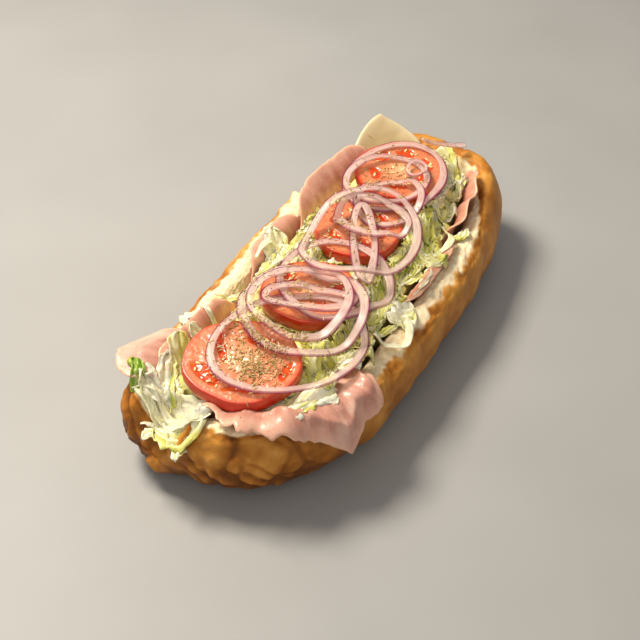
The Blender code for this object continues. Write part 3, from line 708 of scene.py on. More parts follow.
# %% Slices along the -Y wall
flap_start, flap_end = 0.490, share_at(-0.0590 + CAD_SHIFT, -1)
add_sheet(
    "ham_right_near", ham, "ham", 0.5 * (flap_start + flap_end), 0.5 * (flap_end - flap_start) * PERIMETER, OUTER_LAYER,
    [(-0.0095, 0.0496), (-0.0045, 0.0478), (0.0008, 0.0394), (0.0032, 0.0290), (0.0032, 0.0240)],
    ((-1.0, 0.63), (-0.6, 0.66), (-0.25, 0.70), (0.10, 0.77), (0.34, 0.86), (0.5, 0.95),
     (0.67, 0.86), (0.84, 0.83), (1.0, 0.70)),
    ruffle=(0.0024, 5.0, 1.0), ragged=0.020, pale=0.35, folds=0.0030,
)
add_sheet(
    "ham_right_second", ham, "ham", share_at(-0.0650 + CAD_SHIFT, -1), 0.039, INNER_LAYER,
    [(-0.0160, 0.0500), (-0.0180, 0.0528), (-0.0205, 0.0535)], "broad", ruffle=(0.0020, 3.0, 2.0),
)
add_sheet(
    "ham_right_third", ham, "ham", share_at(0.0260 + CAD_SHIFT, -1), 0.036, OUTER_LAYER,
    [(-0.0165, 0.0480), (-0.0122, 0.0488)], "broad",
)
add_sheet(
    "ham_right_far", ham, "ham", share_at(0.0930 + CAD_SHIFT, -1), 0.038, 0.0031,
    [(-0.0165, 0.0480), (-0.0145, 0.0500), (-0.0120, 0.0528)], "broad", ruffle=(0.0030, 3.0, 4.55),
)

# %% [markdown]
# ## Tomato
# A slice shows a thin red skin, a coral wall of flesh, pockets of orange gel with seeds, and a
# pale core. The top is a polar grid: each point knows its distance from the rim, and how deep it
# lies in a pocket of gel, and the finish blends its colours from these marks.

# %% Tomato finish
tomato = new_material(
    "tomato", Subsurface_Weight=0.25, Subsurface_Radius=(1.0, 0.25, 0.12), Subsurface_Scale=0.003,
    Specular_IOR_Level=0.6, Coat_Weight=0.30, Coat_Roughness=0.12,
)
grainy = noise(tomato, 900.0, 3.0)
flesh = ramp(
    tomato, mark(tomato, "radius"),
    (0.0, (0.86, 0.56, 0.30)), (0.16, (0.74, 0.34, 0.165)), (0.38, (0.64, 0.200, 0.085)), (0.90, (0.61, 0.155, 0.058)), (0.965, (0.64, 0.050, 0.008)), (1.0, (0.50, 0.022, 0.003)),
)
inside = ramp(tomato, mark(tomato, "radius"), (0.90, (1.0, 1.0, 1.0)), (0.975, (0.0, 0.0, 0.0)))
pale_grain = ramp(tomato, grainy, (0.46, (0.0, 0.0, 0.0)), (0.78, (1.0, 1.0, 1.0)))
streaks = ramp(tomato, noise(tomato, 1.0, 3.0, (1.0, 1.0, 1.0), "spread"), (0.48, (0.0, 0.0, 0.0)), (0.75, (1.0, 1.0, 1.0)))
flesh = mix(tomato, maths(tomato, "MULTIPLY", pale_grain, maths(tomato, "MULTIPLY", inside, 0.40)), flesh, (0.92, 0.50, 0.27))
flesh = mix(tomato, maths(tomato, "MULTIPLY", streaks, maths(tomato, "MULTIPLY", inside, 0.35)), flesh, (0.90, 0.38, 0.17))
gel = ramp(tomato, noise(tomato, 300.0, 3.0), (0.30, (0.50, 0.030, 0.002)), (0.55, (0.68, 0.065, 0.004)), (0.80, (0.78, 0.17, 0.015)))
tomato_colour = mix(tomato, mark(tomato, "gel"), flesh, gel)
tomato_rough = maths(tomato, "SUBTRACT", 0.30, maths(tomato, "MULTIPLY", mark(tomato, "gel"), 0.18))
finish_with(tomato, Base_Color=tomato_colour, Roughness=tomato_rough, Normal=bump(tomato, grainy, 0.0004, 0.35))
print("tomato nodes:", len(tomato.node_tree.nodes))

# %% Tomato slices
TOMATO_SIDES = 288
OVAL = {"tomato_near": (0.86, (0.883, 0.469))}  # cut askew: narrower by this share along this way, at its far side
GEL_POCKETS = {  # (x, y, half length, half width, turn in degrees) in a disc of radius 1
    "tomato_near": (
        (0.14, 0.50, 0.46, 0.085, 38), (-0.54, 0.36, 0.34, 0.150, -109), (-0.58, -0.33, 0.34, 0.085, -67),
        (0.56, -0.08, 0.27, 0.125, -82), (0.11, -0.74, 0.24, 0.085, 8),
    ),
}
for node, (count, middle, long, wide, turn) in {
    "tomato_second": (5, 0.57, 0.21, 0.155, 10), "tomato_third": (6, 0.57, 0.20, 0.135, 30), "tomato_far": (6, 0.56, 0.21, 0.14, 15),
}.items():
    around = [math.radians(turn + 360.0 * (i + 0.12 * math.sin(5.0 * i)) / count) for i in range(count)]
    GEL_POCKETS[node] = [(middle * math.cos(a), middle * math.sin(a), long, wide * (1.0 + 0.2 * math.sin(7.0 * a)), math.degrees(a) + 90) for a in around]


def slice_frame(node):
    """Middle, radius, thickness and the two slopes of a CAD slice, from a plane fitted to its corners."""
    points = np.unique(np.round(node_points(node), 6), axis=0)
    middle = points.mean(axis=0)
    system = np.column_stack([points[:, :2] - middle[:2], np.ones(len(points))])
    slope_x, slope_y, level = np.linalg.lstsq(system, points[:, 2], rcond=None)[0]
    off = points[:, 2] - system @ np.array([slope_x, slope_y, level])
    radius = np.ptp(points[:, :2], axis=0).mean() / 2
    return middle[:2], level, radius, np.ptp(off), (slope_x, slope_y)


def gel_depth(x, y, pockets, wobble):
    """1 inside a pocket and 0 outside; each pocket is an ellipse, (along / a)^2 + (across / b)^2 < 1."""
    deepest = 0.0
    for cx, cy, long, wide, turn in pockets:
        cos, sin = math.cos(math.radians(turn)), math.sin(math.radians(turn))
        along, across = (x - cx) * cos + (y - cy) * sin, (y - cy) * cos - (x - cx) * sin
        q = (along / long) ** 2 + ((across + 0.03 * wobble + 0.12 * along**2 / long) / wide) ** 2
        deepest = np.maximum(deepest, smooth_step(q, 1.3, 0.7))
    return deepest


def add_tomato(node):
    """A slice as one closed polar grid: up the middle of the underside, round the side, and in again."""
    (cx, cy), level, size, thickness, (slope_x, slope_y) = slice_frame(node)
    seed = 300 + sum(map(ord, node))
    angle = np.arange(TOMATO_SIDES) / TOMATO_SIDES * 2.0 * math.pi
    under = np.array([0.004, 0.35, 0.70, 0.90, 0.965])
    bow = np.linspace(-0.5, 0.5, 15)[1:-1] * math.pi
    top = np.array([0.965, 0.955, 0.94, 0.92, 0.89] + list(np.linspace(0.86, 0.0, 48)[:-1]) + [0.004])
    radius = np.concatenate([under, 0.965 + 0.033 * np.cos(bow), top])[:, None]
    lift = np.concatenate([0 * under - 0.5, 0.5 * np.sin(bow), 0 * top + 0.5])[:, None]
    lobes = 1.0 + 0.018 * np.cos(5 * angle + seed) + 0.012 * np.cos(3 * angle + 1.0) + 0.004 * np.cos(11 * angle)
    x = size * radius * lobes * np.cos(angle)
    y = size * radius * lobes * np.sin(angle)
    flat = np.stack([x, y, 0.0 * x], axis=-1)
    wobble = lumps(flat, 0.007, seed)
    gel_mark = gel_depth(x / size, y / size, GEL_POCKETS[node], wobble) * (lift > 0.49)
    inner = smooth_step(radius, 0.93, 0.86) * (lift > 0.49)
    relief = inner * (0.00018 * lumps(flat, 0.004, seed + 1) + 0.00012 * lumps(flat, 0.0014, seed + 2))
    relief = relief - 0.0007 * gel_mark + 0.0004 * gel_mark * lumps(flat, 0.003, seed + 3)
    relief = relief - 0.0005 * smooth_step(radius, 0.12, 0.02) * (lift > 0.49)
    z = level + lift * thickness + relief + slope_x * x + slope_y * y
    points = np.stack([cx + x, cy + y, z], axis=-1)
    if node in OVAL:
        share, way = OVAL[node][0], np.array(OVAL[node][1])
        points[..., :2] -= (((x * way[0] + y * way[1]) * (1.0 - share) + size * (1.0 - share))[..., None]) * way
        points[..., 2] -= (slope_x * way[0] + slope_y * way[1]) * ((x * way[0] + y * way[1]) + size) * (1.0 - share)
    faces = grid_quads(len(radius), TOMATO_SIDES, closed=True).tolist()
    faces.append(tuple(range(TOMATO_SIDES))[::-1])
    faces.append(tuple(range((len(radius) - 1) * TOMATO_SIDES, len(radius) * TOMATO_SIDES)))
    spread = np.stack([9.0 * np.cos(angle) + 0 * x, 9.0 * np.sin(angle) + 0 * x, 2.5 * radius + 0 * x], axis=-1)
    add_piece("cut_" + node, points, faces, tomato, "tomato", [node], gel=gel_mark, radius=radius + 0 * x, spread=spread)
    return points, gel_mark


tomato_tops = {node: add_tomato(node) for node in GEL_POCKETS}

# %% [markdown]
# ## Onion rings
# A ring is a flat band with rounded edges. Its middle line is read from the CAD ring: the
# middles of its sections, joined by their Fourier series, which is the smoothest closed curve
# through them. The outer edge is the onion's own purple skin; fine lines run along the band.

# %% Onion finish
onion = new_material(
    "onion", roughness=0.24, Subsurface_Weight=0.20, Subsurface_Radius=(1.0, 0.7, 0.7), Subsurface_Scale=0.0025,
    Alpha=0.47, Specular_IOR_Level=0.5,
)
onion_lines = noise(onion, 1.0, 3.0, (1.0, 1.0, 1.0), "along")
onion_flesh = ramp(onion, onion_lines, (0.32, (0.68, 0.41, 0.38)), (0.48, (0.79, 0.59, 0.52)), (0.66, (0.88, 0.76, 0.67)))
blush = maths(onion, "MULTIPLY", noise(onion, 55.0, 2.0), 0.30)
onion_flesh = mix(onion, blush, onion_flesh, (0.80, 0.44, 0.46))
onion_inner = ramp(onion, mark(onion, "across"), (0.02, (1.0, 1.0, 1.0)), (0.10, (0.0, 0.0, 0.0)))
onion_flesh = mix(onion, maths(onion, "MULTIPLY", onion_inner, 0.45), onion_flesh, (0.60, 0.24, 0.32))
skin_line = ramp(onion, mark(onion, "across"), (0.76, (0.0, 0.0, 0.0)), (0.85, (1.0, 1.0, 1.0)))
onion_colour = mix(onion, skin_line, onion_flesh, (0.24, 0.004, 0.085))
finish_with(onion, Base_Color=onion_colour, Normal=bump(onion, onion_lines, 0.0003, 0.5))
print("onion nodes:", len(onion.node_tree.nodes))

# %% Onion rings
RING_WIDTH = 0.0055
RING_THICKNESS = 0.0014
BAND_WIDTH = 0.0047  # the fresh-cut ring is a little narrower than its solid
RING_STEPS = 312
RING_SIDES = 22


def ring_line(node):
    """The middles of a CAD ring's sections, in order round it.

    Two corners with the same x and y are a wall; two walls one ring width apart are a section.
    """
    corners = np.unique(np.round(node_points(node), 7), axis=0)
    apart = np.linalg.norm(corners[:, None, :2] - corners[None, :, :2], axis=-1) + 9.0 * np.eye(len(corners))
    walls = 0.5 * (corners + corners[np.argmin(apart, axis=1)])
    walls = walls[np.unique(np.round(walls, 6), axis=0, return_index=True)[1]]
    gap = walls[:, None] - walls[None, :]
    miss = np.abs(np.linalg.norm(gap[..., :2], axis=-1) - RING_WIDTH) + 5.0 * np.abs(gap[..., 2])
    middles = 0.5 * (walls + walls[np.argmin(miss, axis=1)])
    middles = middles[np.unique(np.round(middles, 6), axis=0, return_index=True)[1]]
    centre = middles.mean(axis=0)
    return middles[np.argsort(np.arctan2(middles[:, 1] - centre[1], middles[:, 0] - centre[0]))]


def smooth_loop(points, count):
    """A closed curve through the points: their Fourier series, read at more places."""
    return np.fft.irfft(np.fft.rfft(points, axis=0), count, axis=0) * (count / len(points))


def add_band(node, line, seed, wide_at, closed=True):
    """A rounded band carried along a line; its width and thickness vary a little.

    Across the band the profile is (sign(cos a) |cos a|^0.55, sign(sin a) |sin a|^0.62), a rounded box.
    """
    if closed:
        forward = np.roll(line, -1, axis=0) - np.roll(line, 1, axis=0)
    else:
        forward = np.gradient(line, axis=0)
    forward = forward / np.linalg.norm(forward, axis=1)[:, None]
    out = np.stack([forward[:, 1], -forward[:, 0], 0.0 * forward[:, 0]], axis=-1)
    out = out / np.linalg.norm(out, axis=1)[:, None]
    up = np.cross(forward, -out)
    steps = len(line)
    turn = np.arange(steps) / steps * 2.0 * math.pi
    loop = np.stack([np.cos(turn), np.sin(turn), 0.0 * turn], axis=-1) * 0.02
    wide = wide_at * (0.94 + 0.22 * lumps(loop, 0.014, seed))
    thick = RING_THICKNESS * (0.95 + 0.15 * lumps(loop, 0.009, seed + 1))
    around = np.arange(RING_SIDES) / RING_SIDES * 2.0 * math.pi
    cos, sin = np.cos(around), np.sin(around)
    across = np.sign(cos) * np.abs(cos) ** 0.55
    high = np.sign(sin) * np.abs(sin) ** 0.62
    offset_out = 0.5 * wide[:, None] * across
    offset_up = 0.5 * thick[:, None] * high + 0.10 * np.sin(2 * turn + seed)[:, None] * offset_out
    points = line[:, None] + out[:, None] * offset_out[..., None] + up[:, None] * offset_up[..., None]
    faces = grid_quads(steps, RING_SIDES, closed=True)
    last, column = (steps - 1) * RING_SIDES, np.arange(RING_SIDES)
    if closed:
        seam = np.stack([last + column, last + (column + 1) % RING_SIDES, (column + 1) % RING_SIDES, column], axis=1)
        faces = np.concatenate([faces, seam])
    else:
        faces = faces.tolist() + [tuple(column[::-1].tolist()), tuple((last + column).tolist())]
    still = 0.0 * offset_out
    flow = np.stack([3.0 * np.cos(turn)[:, None] + still, 3.0 * np.sin(turn)[:, None] + still, 1500.0 * offset_out], axis=-1)
    name = node.replace("onion", "onion_ring" if closed else "onion_strip")
    add_piece(name, points, faces, onion, "onion", [node], across=0.5 + 0.5 * across[None, :] + still, along=flow)


ring_nodes = sorted(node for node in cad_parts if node.startswith("onion") and node != "onion_end")
for number, node in enumerate(ring_nodes):
    add_band(node, smooth_loop(ring_line(node), RING_STEPS), 500 + 7 * number, BAND_WIDTH if node != "onion_far_small" else 0.0022)

# %% The cut strip at the far end
strip_corners = np.unique(np.round(node_points("onion_end"), 7), axis=0)
strip_way = np.linalg.svd(strip_corners - strip_corners.mean(axis=0), full_matrices=False)[2][0]
strip_order = strip_corners[np.argsort(strip_corners @ strip_way)].reshape(-1, 4, 3)
strip_middles = strip_order.mean(axis=1)
strip_steps = np.linspace(0.0, len(strip_middles) - 1.0, 60)
strip_curve = np.polyfit(np.arange(len(strip_middles)), strip_middles, 2)
strip_line = np.stack([np.polyval(strip_curve[:, i], strip_steps) for i in range(3)], axis=-1)
strip_line[:, 2] += 0.0016 + 0.0014 * np.sin(math.pi * strip_steps / strip_steps[-1])
add_band("onion_end", strip_line if strip_way[0] < 0 else strip_line[::-1], 600, 0.0050, closed=False)

# %% [markdown]
# ## Lettuce
# Shredded iceberg is hundreds of thin strips: white and stiff near the rib, pale green and
# limp further out, with frilled edges. A lumpy core fills the roll, and the strips lie on it,
# under the tomato and the onion. All strips of a kind are worked out at once, as one array.

# %% Where strips can lie
lying_tree = node_tree_of("roll", "lettuce", "cheese", *[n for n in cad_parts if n.startswith("ham")])
over_tree = node_tree_of(*GEL_POCKETS, *ring_nodes, "onion_end")
HEAP_EDGE = 0.0445  # the heap's height at the walls


def heights_on(tree, xy, start, downwards, missing):
    """Height of the first surface met from a start height, at each x and y."""
    way = Vector((0.0, 0.0, -1.0 if downwards else 1.0))
    flat = xy.reshape(-1, 2)
    hits = [tree.ray_cast(Vector((x, y, start)), way)[0] for x, y in flat]
    return np.array([missing if hit is None else hit.z for hit in hits]).reshape(xy.shape[:-1])


def bed(xy):
    """Height of what strips lie on: the solids, and the heap's own level over the gaps beside it."""
    found = heights_on(lying_tree, xy, 0.12, True, 0.0)
    x, y = xy[..., 0] - ROLL_MIDDLE[0], xy[..., 1] - ROLL_MIDDLE[1]
    y = y - NOSE_SHIFT * smooth_step(-x, -NOSE_START, ROLL_LENGTH / 2)
    inside = (np.abs(x) < ROLL_LENGTH / 2 - 0.020) & (np.abs(y) < ROLL_WIDTH / 2 - 0.017)
    return np.maximum(np.where(inside, np.maximum(found, HEAP_EDGE), found), 0.032)


HEAP_LINE = place(np.arange(500) / 500, 0.0245, 0.0)[:, :2]
HEAP_OUT = np.roll(HEAP_LINE, -1, axis=0) - np.roll(HEAP_LINE, 1, axis=0)
HEAP_OUT = np.stack([HEAP_OUT[:, 1], -HEAP_OUT[:, 0]], axis=1) / np.linalg.norm(HEAP_OUT, axis=1)[:, None]


def pressed_in(xy):
    """The same places, but none past the line along the inside of the ham, except at the notch."""
    flat = xy.reshape(-1, 1, 2) - HEAP_LINE[None]
    nearest = np.argmin((flat**2).sum(axis=-1), axis=1)
    past = (flat[np.arange(len(flat)), nearest] * HEAP_OUT[nearest]).sum(axis=-1)
    x, y = xy.reshape(-1, 2).T
    past = np.clip(past, 0.0, None) * 0.85 * np.maximum(smooth_step(x, -0.112, -0.100), smooth_step(-y, -0.006, 0.004))
    return xy - (past[:, None] * HEAP_OUT[nearest]).reshape(xy.shape)


def under_the_toppings(points, gap=0.0004):
    """The same points, none of them higher than the underside of the tomato or onion above it."""
    ceiling = heights_on(over_tree, points[..., :2], 0.030, False, 1.0)
    return np.concatenate([points[..., :2], np.minimum(points[..., 2], ceiling - gap)[..., None]], axis=-1)


print("heap height in the middle:", np.round(bed(np.array([[0.0, 0.0]])), 4))

# %% Strips of leaf


def ribbons(middle, width, thickness, cup, twist, frill, phase, taper, sides):
    """Strips of leaf along middle lines, as an array of strips, steps, sides and x, y, z.

    At u along a strip it is width * (sin pi u)^taper wide. Its lens-shaped profile is cupped by
    cup, turned about the line by twist * (u - 1/2), and its edges wave by frill.
    """
    u = np.linspace(0.0, 1.0, middle.shape[1])[None, :]
    forward = np.gradient(middle, axis=1)
    forward = forward / np.linalg.norm(forward, axis=-1, keepdims=True)
    level = np.stack([-forward[..., 1], forward[..., 0], 0.0 * u + 0.0 * forward[..., 0]], axis=-1)
    level = level / np.maximum(np.linalg.norm(level, axis=-1, keepdims=True), 1e-6)
    normal = np.cross(forward, level)
    turn = (twist[:, None] * (u - 0.5) + phase[:, None] * 0.12)[..., None]
    side = level * np.cos(turn) + normal * np.sin(turn)
    normal = normal * np.cos(turn) - level * np.sin(turn)
    half = 0.5 * width[:, None] * np.clip(np.sin(math.pi * np.clip(u, 0.012, 0.988)), 0.0, 1.0) ** taper[:, None]
    half = half * (1.0 + 0.20 * np.sin(9.0 * u + phase[:, None]) + 0.12 * np.sin(23.0 * u + 2.0 * phase[:, None]))
    around = np.arange(sides) / sides * 2.0 * math.pi
    across, through = np.cos(around)[None, None, :], np.sin(around)[None, None, :]
    wave = np.sin(21.0 * u + phase[:, None])[..., None] * frill[:, None, None] * np.abs(across) ** 2
    wave = wave + 0.5 * np.sin(47.0 * u + 3.0 * phase[:, None])[..., None] * frill[:, None, None] * across**3
    rise = half[..., None] * cup[:, None, None] * across**2 + 0.5 * thickness[:, None, None] * through + wave
    return middle[:, :, None] + side[:, :, None] * (half[..., None] * across)[..., None] + normal[:, :, None] * rise[..., None]


def ribbon_faces(count, steps, sides):
    """Faces of many ribbons, each closed by one face at either tip."""
    first = (np.arange(count) * steps * sides)[:, None, None]
    quads = (grid_quads(steps, sides, closed=True)[None] + first).reshape(-1, 4)
    ring = np.arange(sides)
    near = (ring[::-1][None] + first[:, 0]).tolist()
    far = (ring[None] + (steps - 1) * sides + first[:, 0]).tolist()
    return quads.tolist() + near + far


def flat_lines(start, heading, length, bend, wander, phase, steps):
    """Lines in plan that leave start along heading, turn evenly by bend, and wander."""
    u = np.linspace(0.0, 1.0, steps)[None, :]
    angle = heading[:, None] + bend[:, None] * (u - 0.5) + wander[:, None] * np.sin(5.0 * u + phase[:, None])
    step = length[:, None] / (steps - 1)
    xy = np.stack([np.cumsum(np.cos(angle) * step, axis=1), np.cumsum(np.sin(angle) * step, axis=1)], axis=-1)
    return start[:, None] + xy - xy.mean(axis=1, keepdims=True)


def eased(height, times=3):
    """Heights along each line, smoothed by weights 1, 2, 1 from one step to the next."""
    for _ in range(times):
        padded = np.concatenate([height[:, :1], height, height[:, -1:]], axis=1)
        height = 0.25 * padded[:, :-2] + 0.5 * height + 0.25 * padded[:, 2:]
    return height


# %% Lettuce finish
lettuce = new_material(
    "lettuce", roughness=0.27, Subsurface_Weight=0.45, Subsurface_Radius=(1.0, 1.0, 0.4), Subsurface_Scale=0.0025, Specular_IOR_Level=0.6,
)
clouds = maths(lettuce, "MULTIPLY_ADD", noise(lettuce, 190.0, 3.0), 0.44, -0.17)
leaf_tone = maths(lettuce, "ADD", mark(lettuce, "tone"), clouds, clamp=True)
leaf_colour = ramp(
    lettuce, leaf_tone,
    (0.00, (0.93, 0.89, 0.63)), (0.26, (0.91, 0.86, 0.50)), (0.52, (0.82, 0.79, 0.25)), (0.78, (0.66, 0.63, 0.10)), (1.0, (0.22, 0.36, 0.02)),
)
veins = ramp(lettuce, noise(lettuce, 1.0, 2.0, (1.0, 1.0, 1.0), "along"), (0.50, (0.0, 0.0, 0.0)), (0.62, (1.0, 1.0, 1.0)))
leaf_colour = mix(lettuce, maths(lettuce, "MULTIPLY", veins, 0.22), leaf_colour, (0.95, 0.93, 0.74))
leaf_grain = bump(lettuce, noise(lettuce, 900.0, 2.0), 0.0003, 0.5)
finish_with(lettuce, Base_Color=leaf_colour, Normal=bump(lettuce, noise(lettuce, 330.0, 3.0), 0.0008, 0.7, leaf_grain))
print("lettuce nodes:", len(lettuce.node_tree.nodes))

# %% The heap's core
CORE_AROUND = 300


def creased(points, cell, seed):
    """Crumpled relief from 0 to 1: plates that meet in creases, (second - first) between seeds."""
    first, second = cells(points + 0.15 * cell * lumps(points, 0.6 * cell, seed + 9)[..., None], cell, seed)
    return np.clip(1.4 * (second - first), 0.0, 1.0)


def add_core():
    """A smaller heap inside the solid one: loops up its side and in over the top, deeply creased."""
    share = (np.arange(CORE_AROUND) / CORE_AROUND)[None, :]
    inset = even_steps((0.044, 0), (0.0265, 6), (0.0247, 8), (0.0278, 5), (0.057, 40))[:, None]
    rise = even_steps((0.020, 0), (0.026, 6), (0.0400, 8), (0.0425, 5), (0.0425, 40))[:, None]
    points = place(share, inset, rise)
    crown = 0.0115 * np.clip(1.0 - ((points[..., 1] - ROLL_MIDDLE[1]) / 0.042) ** 2, 0.0, 1.0)
    over = smooth_step(rise, 0.038, 0.0425)
    plates = creased(points * np.array([1.0, 1.0, 0.5]), 0.009, 31)
    points[..., 2] += over * (crown + 0.0030 * (plates - 0.5) + 0.0012 * lumps(points, 0.0035, 32))
    points[..., 2] = np.where(over > 0, under_the_toppings(points, 0.0025)[..., 2], points[..., 2])
    rows = len(inset)
    faces = grid_quads(rows, CORE_AROUND, closed=True).tolist()
    faces += [face[::-1] for face in long_lid(0, CORE_AROUND)] + long_lid((rows - 1) * CORE_AROUND, CORE_AROUND)
    # Tone: a darker green than the strips all over, painted shade of the heap's depths, and darker still in the creases
    # between plates, painted shade there too.
    tone = 0.66 - 0.35 * plates + 0.2 * lumps(points, 0.006, 33)
    add_piece("lettuce_core", points, faces, lettuce, "lettuce", ["lettuce"], tone=np.clip(tone, 0, 1), along=300.0 * points)


add_core()

# %% Crumpled pieces of leaf
# (x, y) at one end, (x, y) at the other, width and pleat depth in mm, and tone
LEAVES = (
    (-117, 41, -118, 3, 15, 3.0, 0.05), (-129, 29, -124, 3, 12, 3.0, 0.34), (-122, 29, -140, 10, 8, 1.5, 0.12),
    (-128, 25, -136, 31, 6, 1.2, 0.10), (-123, 19, -133, 8, 7, 1.6, 0.40), (-110, 43, -115, 36, 3, 0.5, 0.02),
    (-112, 50, -122, 41, 7, 2.0, 1.05), (-99, 38, -116, 22, 9, 1.6, 0.12), (-88, 39, -100, 26, 9, 2.0, 0.45),
    (-74, 46, -64, 42, 8, 1.2, 0.05), (-58, 46, -66, 29, 3, 0.6, 0.02), (-80, 38, -76, 24, 9, 1.8, 0.16),
    (-77, -24, -83, -41, 11, 2.6, 0.42), (-84, -26, -72, -34, 8, 2.2, 0.50), (-62, -32, -60, -46, 7, 2.0, 0.30),
    (-108, -29, -82, -43, 14, 1.6, 0.10), (-103, -29, -92, -38, 8, 2.0, 0.38), (-58, -40, -52, -48, 6, 1.6, 0.45),
    (-18, -38, -9, -49, 18, 2.6, 0.14), (25, -41, -2, -42, 5, 1.0, 0.20), (8, -36, 19, -40, 7, 1.8, 0.36),
    (1, -31, -4, -42, 8, 2.2, 0.62), (-11, -27, -21, -36, 8, 2.2, 0.46), (-36, -34, -49, -44, 8, 2.4, 0.55),
    (-35, -40, -22, -46, 4, 1.0, 0.55), (51, -24, 26, -47, 14, 3.2, 0.52), (36, -24, 24, -38, 10, 2.6, 0.46),
    (29, -40, 32, -49, 5, 1.4, 0.58), (34, -41, 55, -25, 10, 2.4, 0.36), (54, -42, 64, -46, 5, 1.6, 0.30),
    (67, -22, 73, -37, 10, 2.0, 0.26), (103, -12, 99, -22, 8, 1.8, 0.14), (92, -27, 101, -25, 6, 1.4, 0.05),
    (65, -33, 77, -34, 4, 0.8, 0.22), (7, 41, -17, 24, 14, 2.8, 0.16), (1, 33, -7, 22, 9, 2.0, 0.24),
    (-18, 27, -29, 30, 7, 1.6, 0.30), (40, 28, 30, 27, 6, 1.6, 0.50), (42, 26, 32, 22, 6, 1.6, 0.42),
    (58, 26, 48, 23, 5, 1.2, 0.12), (0, 18, -5, 8, 7, 1.8, 0.30), (-48, 44, -38, 34, 4, 1.0, 0.40),
    (90, 20, 97, 15, 7, 1.4, 0.30), (103, 15, 108, 3, 8, 1.6, 0.26), (117, -2, 109, -18, 8, 1.8, 0.20),
    (-60, -24, -48, -34, 9, 2.4, 0.40), (-30, -26, -14, -22, 9, 2.2, 0.34), (12, -24, 22, -30, 9, 2.4, 0.48),
    (62, -20, 80, -28, 9, 2.2, 0.26), (82, -20, 94, -22, 9, 2.0, 0.14), (-70, -38, -62, -46, 6, 1.6, 0.24),
    (-45, 12, -40, -6, 9, 2.0, 0.36), (26, -6, 22, 12, 10, 2.2, 0.40), (44, 20, 36, 8, 8, 1.8, 0.45),
)
RIBS = (  # stiff white ribs: (points along it, width and tone)
    ((-41, -42), (-39, -52), (-29, -57), (-18, -50), 4.0, 0.03), ((-122, 44), (-114, 30), (-117, 14), (-113, 2), 3.0, 0.0),
    ((-70, -32), (-66, -42), (-58, -44), (-54, -38), 3.0, 0.05), ((28, -36), (40, -46), (52, -42), (58, -34), 3.5, 0.18),
    ((-16, 38), (-6, 40), (4, 36), (6, 28), 3.0, 0.04), ((84, -18), (96, -28), (106, -20), (110, -8), 4.0, 0.03),
)
LEAF_STEPS, LEAF_ACROSS = 30, 17


def leaf_middle(seed):
    """The middle surfaces of all pieces of leaf, as leaves x steps x across x (x, y, z), and tones."""
    rng = np.random.default_rng(seed)
    table = np.array(LEAVES, float)
    count = len(table)
    start, end = table[:, 0:2] * 1e-3, table[:, 2:4] * 1e-3
    u = np.linspace(0.0, 1.0, LEAF_STEPS)[None, :, None]
    v = np.linspace(-1.0, 1.0, LEAF_ACROSS)[None, None, :]
    way = end - start
    length = np.linalg.norm(way, axis=1)
    way = way / length[:, None]
    side = np.stack([-way[:, 1], way[:, 0]], axis=1)
    flat = np.stack([u + 0.0 * v, v + 0.0 * u, 0.0 * u * v], axis=-1) + 7.0 * np.arange(count)[:, None, None, None]
    ragged = 1.0 + 0.30 * lumps(flat * np.array([1, 0.2, 1]), 0.16, seed) + 0.22 * lumps(flat, 0.07, seed + 1)
    half = 0.5e-3 * table[:, 4, None, None] * (1.0 - np.abs(2.0 * u - 1.0) ** 6) ** 0.5 * ragged
    bend = rng.normal(0.0, 0.16, count)[:, None, None] * length[:, None, None]
    along = length[:, None, None] * (u + 0.06 * lumps(flat, 0.22, seed + 2))
    across = half * v + bend * np.sin(math.pi * u)
    xy = start[:, None, None] + way[:, None, None] * along[..., None] + side[:, None, None] * across[..., None]
    ground = np.maximum(bed(xy), bed(xy[:, ::1].mean(axis=2, keepdims=True)) - 0.003)
    for _ in range(4):
        ground[:, 1:-1] = 0.25 * ground[:, :-2] + 0.5 * ground[:, 1:-1] + 0.25 * ground[:, 2:]
        ground[:, :, 1:-1] = 0.25 * ground[:, :, :-2] + 0.5 * ground[:, :, 1:-1] + 0.25 * ground[:, :, 2:]
    deep = 1e-3 * table[:, 5, None, None]
    phase = rng.uniform(0.0, 6.3, count)[:, None, None]
    count_of_pleats = 1.2 + table[:, 4, None, None] / 7.0
    pleat = np.abs(np.sin(count_of_pleats * 1.6 * v + 1.8 * np.sin(2.4 * u + phase) + phase))
    real = np.concatenate([xy, 0.0 * ground[..., None]], axis=-1)
    crumple = creased(real, 0.0068, seed + 3) - 0.4
    frill = np.sin(30.0 * u + 3.0 * phase + 2.0 * v) * np.clip(v, 0.0, 1.0) ** 2 + np.sin(24.0 * u + phase) * np.clip(-v, 0.0, 1.0) ** 3
    up = 0.0012 + deep * (pleat - 0.15) + 0.0009 * crumple + 0.0004 * lumps(real, 0.0032, seed + 4) + 0.18 * deep * frill
    middle = np.concatenate([xy, (ground + up)[..., None]], axis=-1)
    # Tone: the leaf's own tone from the table, whiter along one side and varied at random, then paler on raised pleats
    # and plates and greener in the folds between them, which is painted light and shade on the crumples.
    tone = table[:, 6, None, None] + 0.20 * v * rng.choice([-1.0, 1.0], count)[:, None, None] - 0.22 * pleat + 0.12 - 0.16 * crumple
    tone = tone + 0.18 * lumps(real, 0.006, seed + 5)
    veins = np.stack([2.5 * v + 0.0 * half, 0.35 * u + 0.0 * half, phase + 0.0 * half], axis=-1)
    return under_the_toppings(middle, 0.0009), np.clip(tone, 0.0, 1.0), veins


def shells(middle, thickness):
    """Front and back surfaces, half of the thickness to either side along the normal."""
    normal = np.cross(np.gradient(middle, axis=1), np.gradient(middle, axis=2))
    normal = normal / np.maximum(np.linalg.norm(normal, axis=-1, keepdims=True), 1e-9)
    return np.stack([middle - 0.5 * thickness * normal, middle + 0.5 * thickness * normal], axis=1)


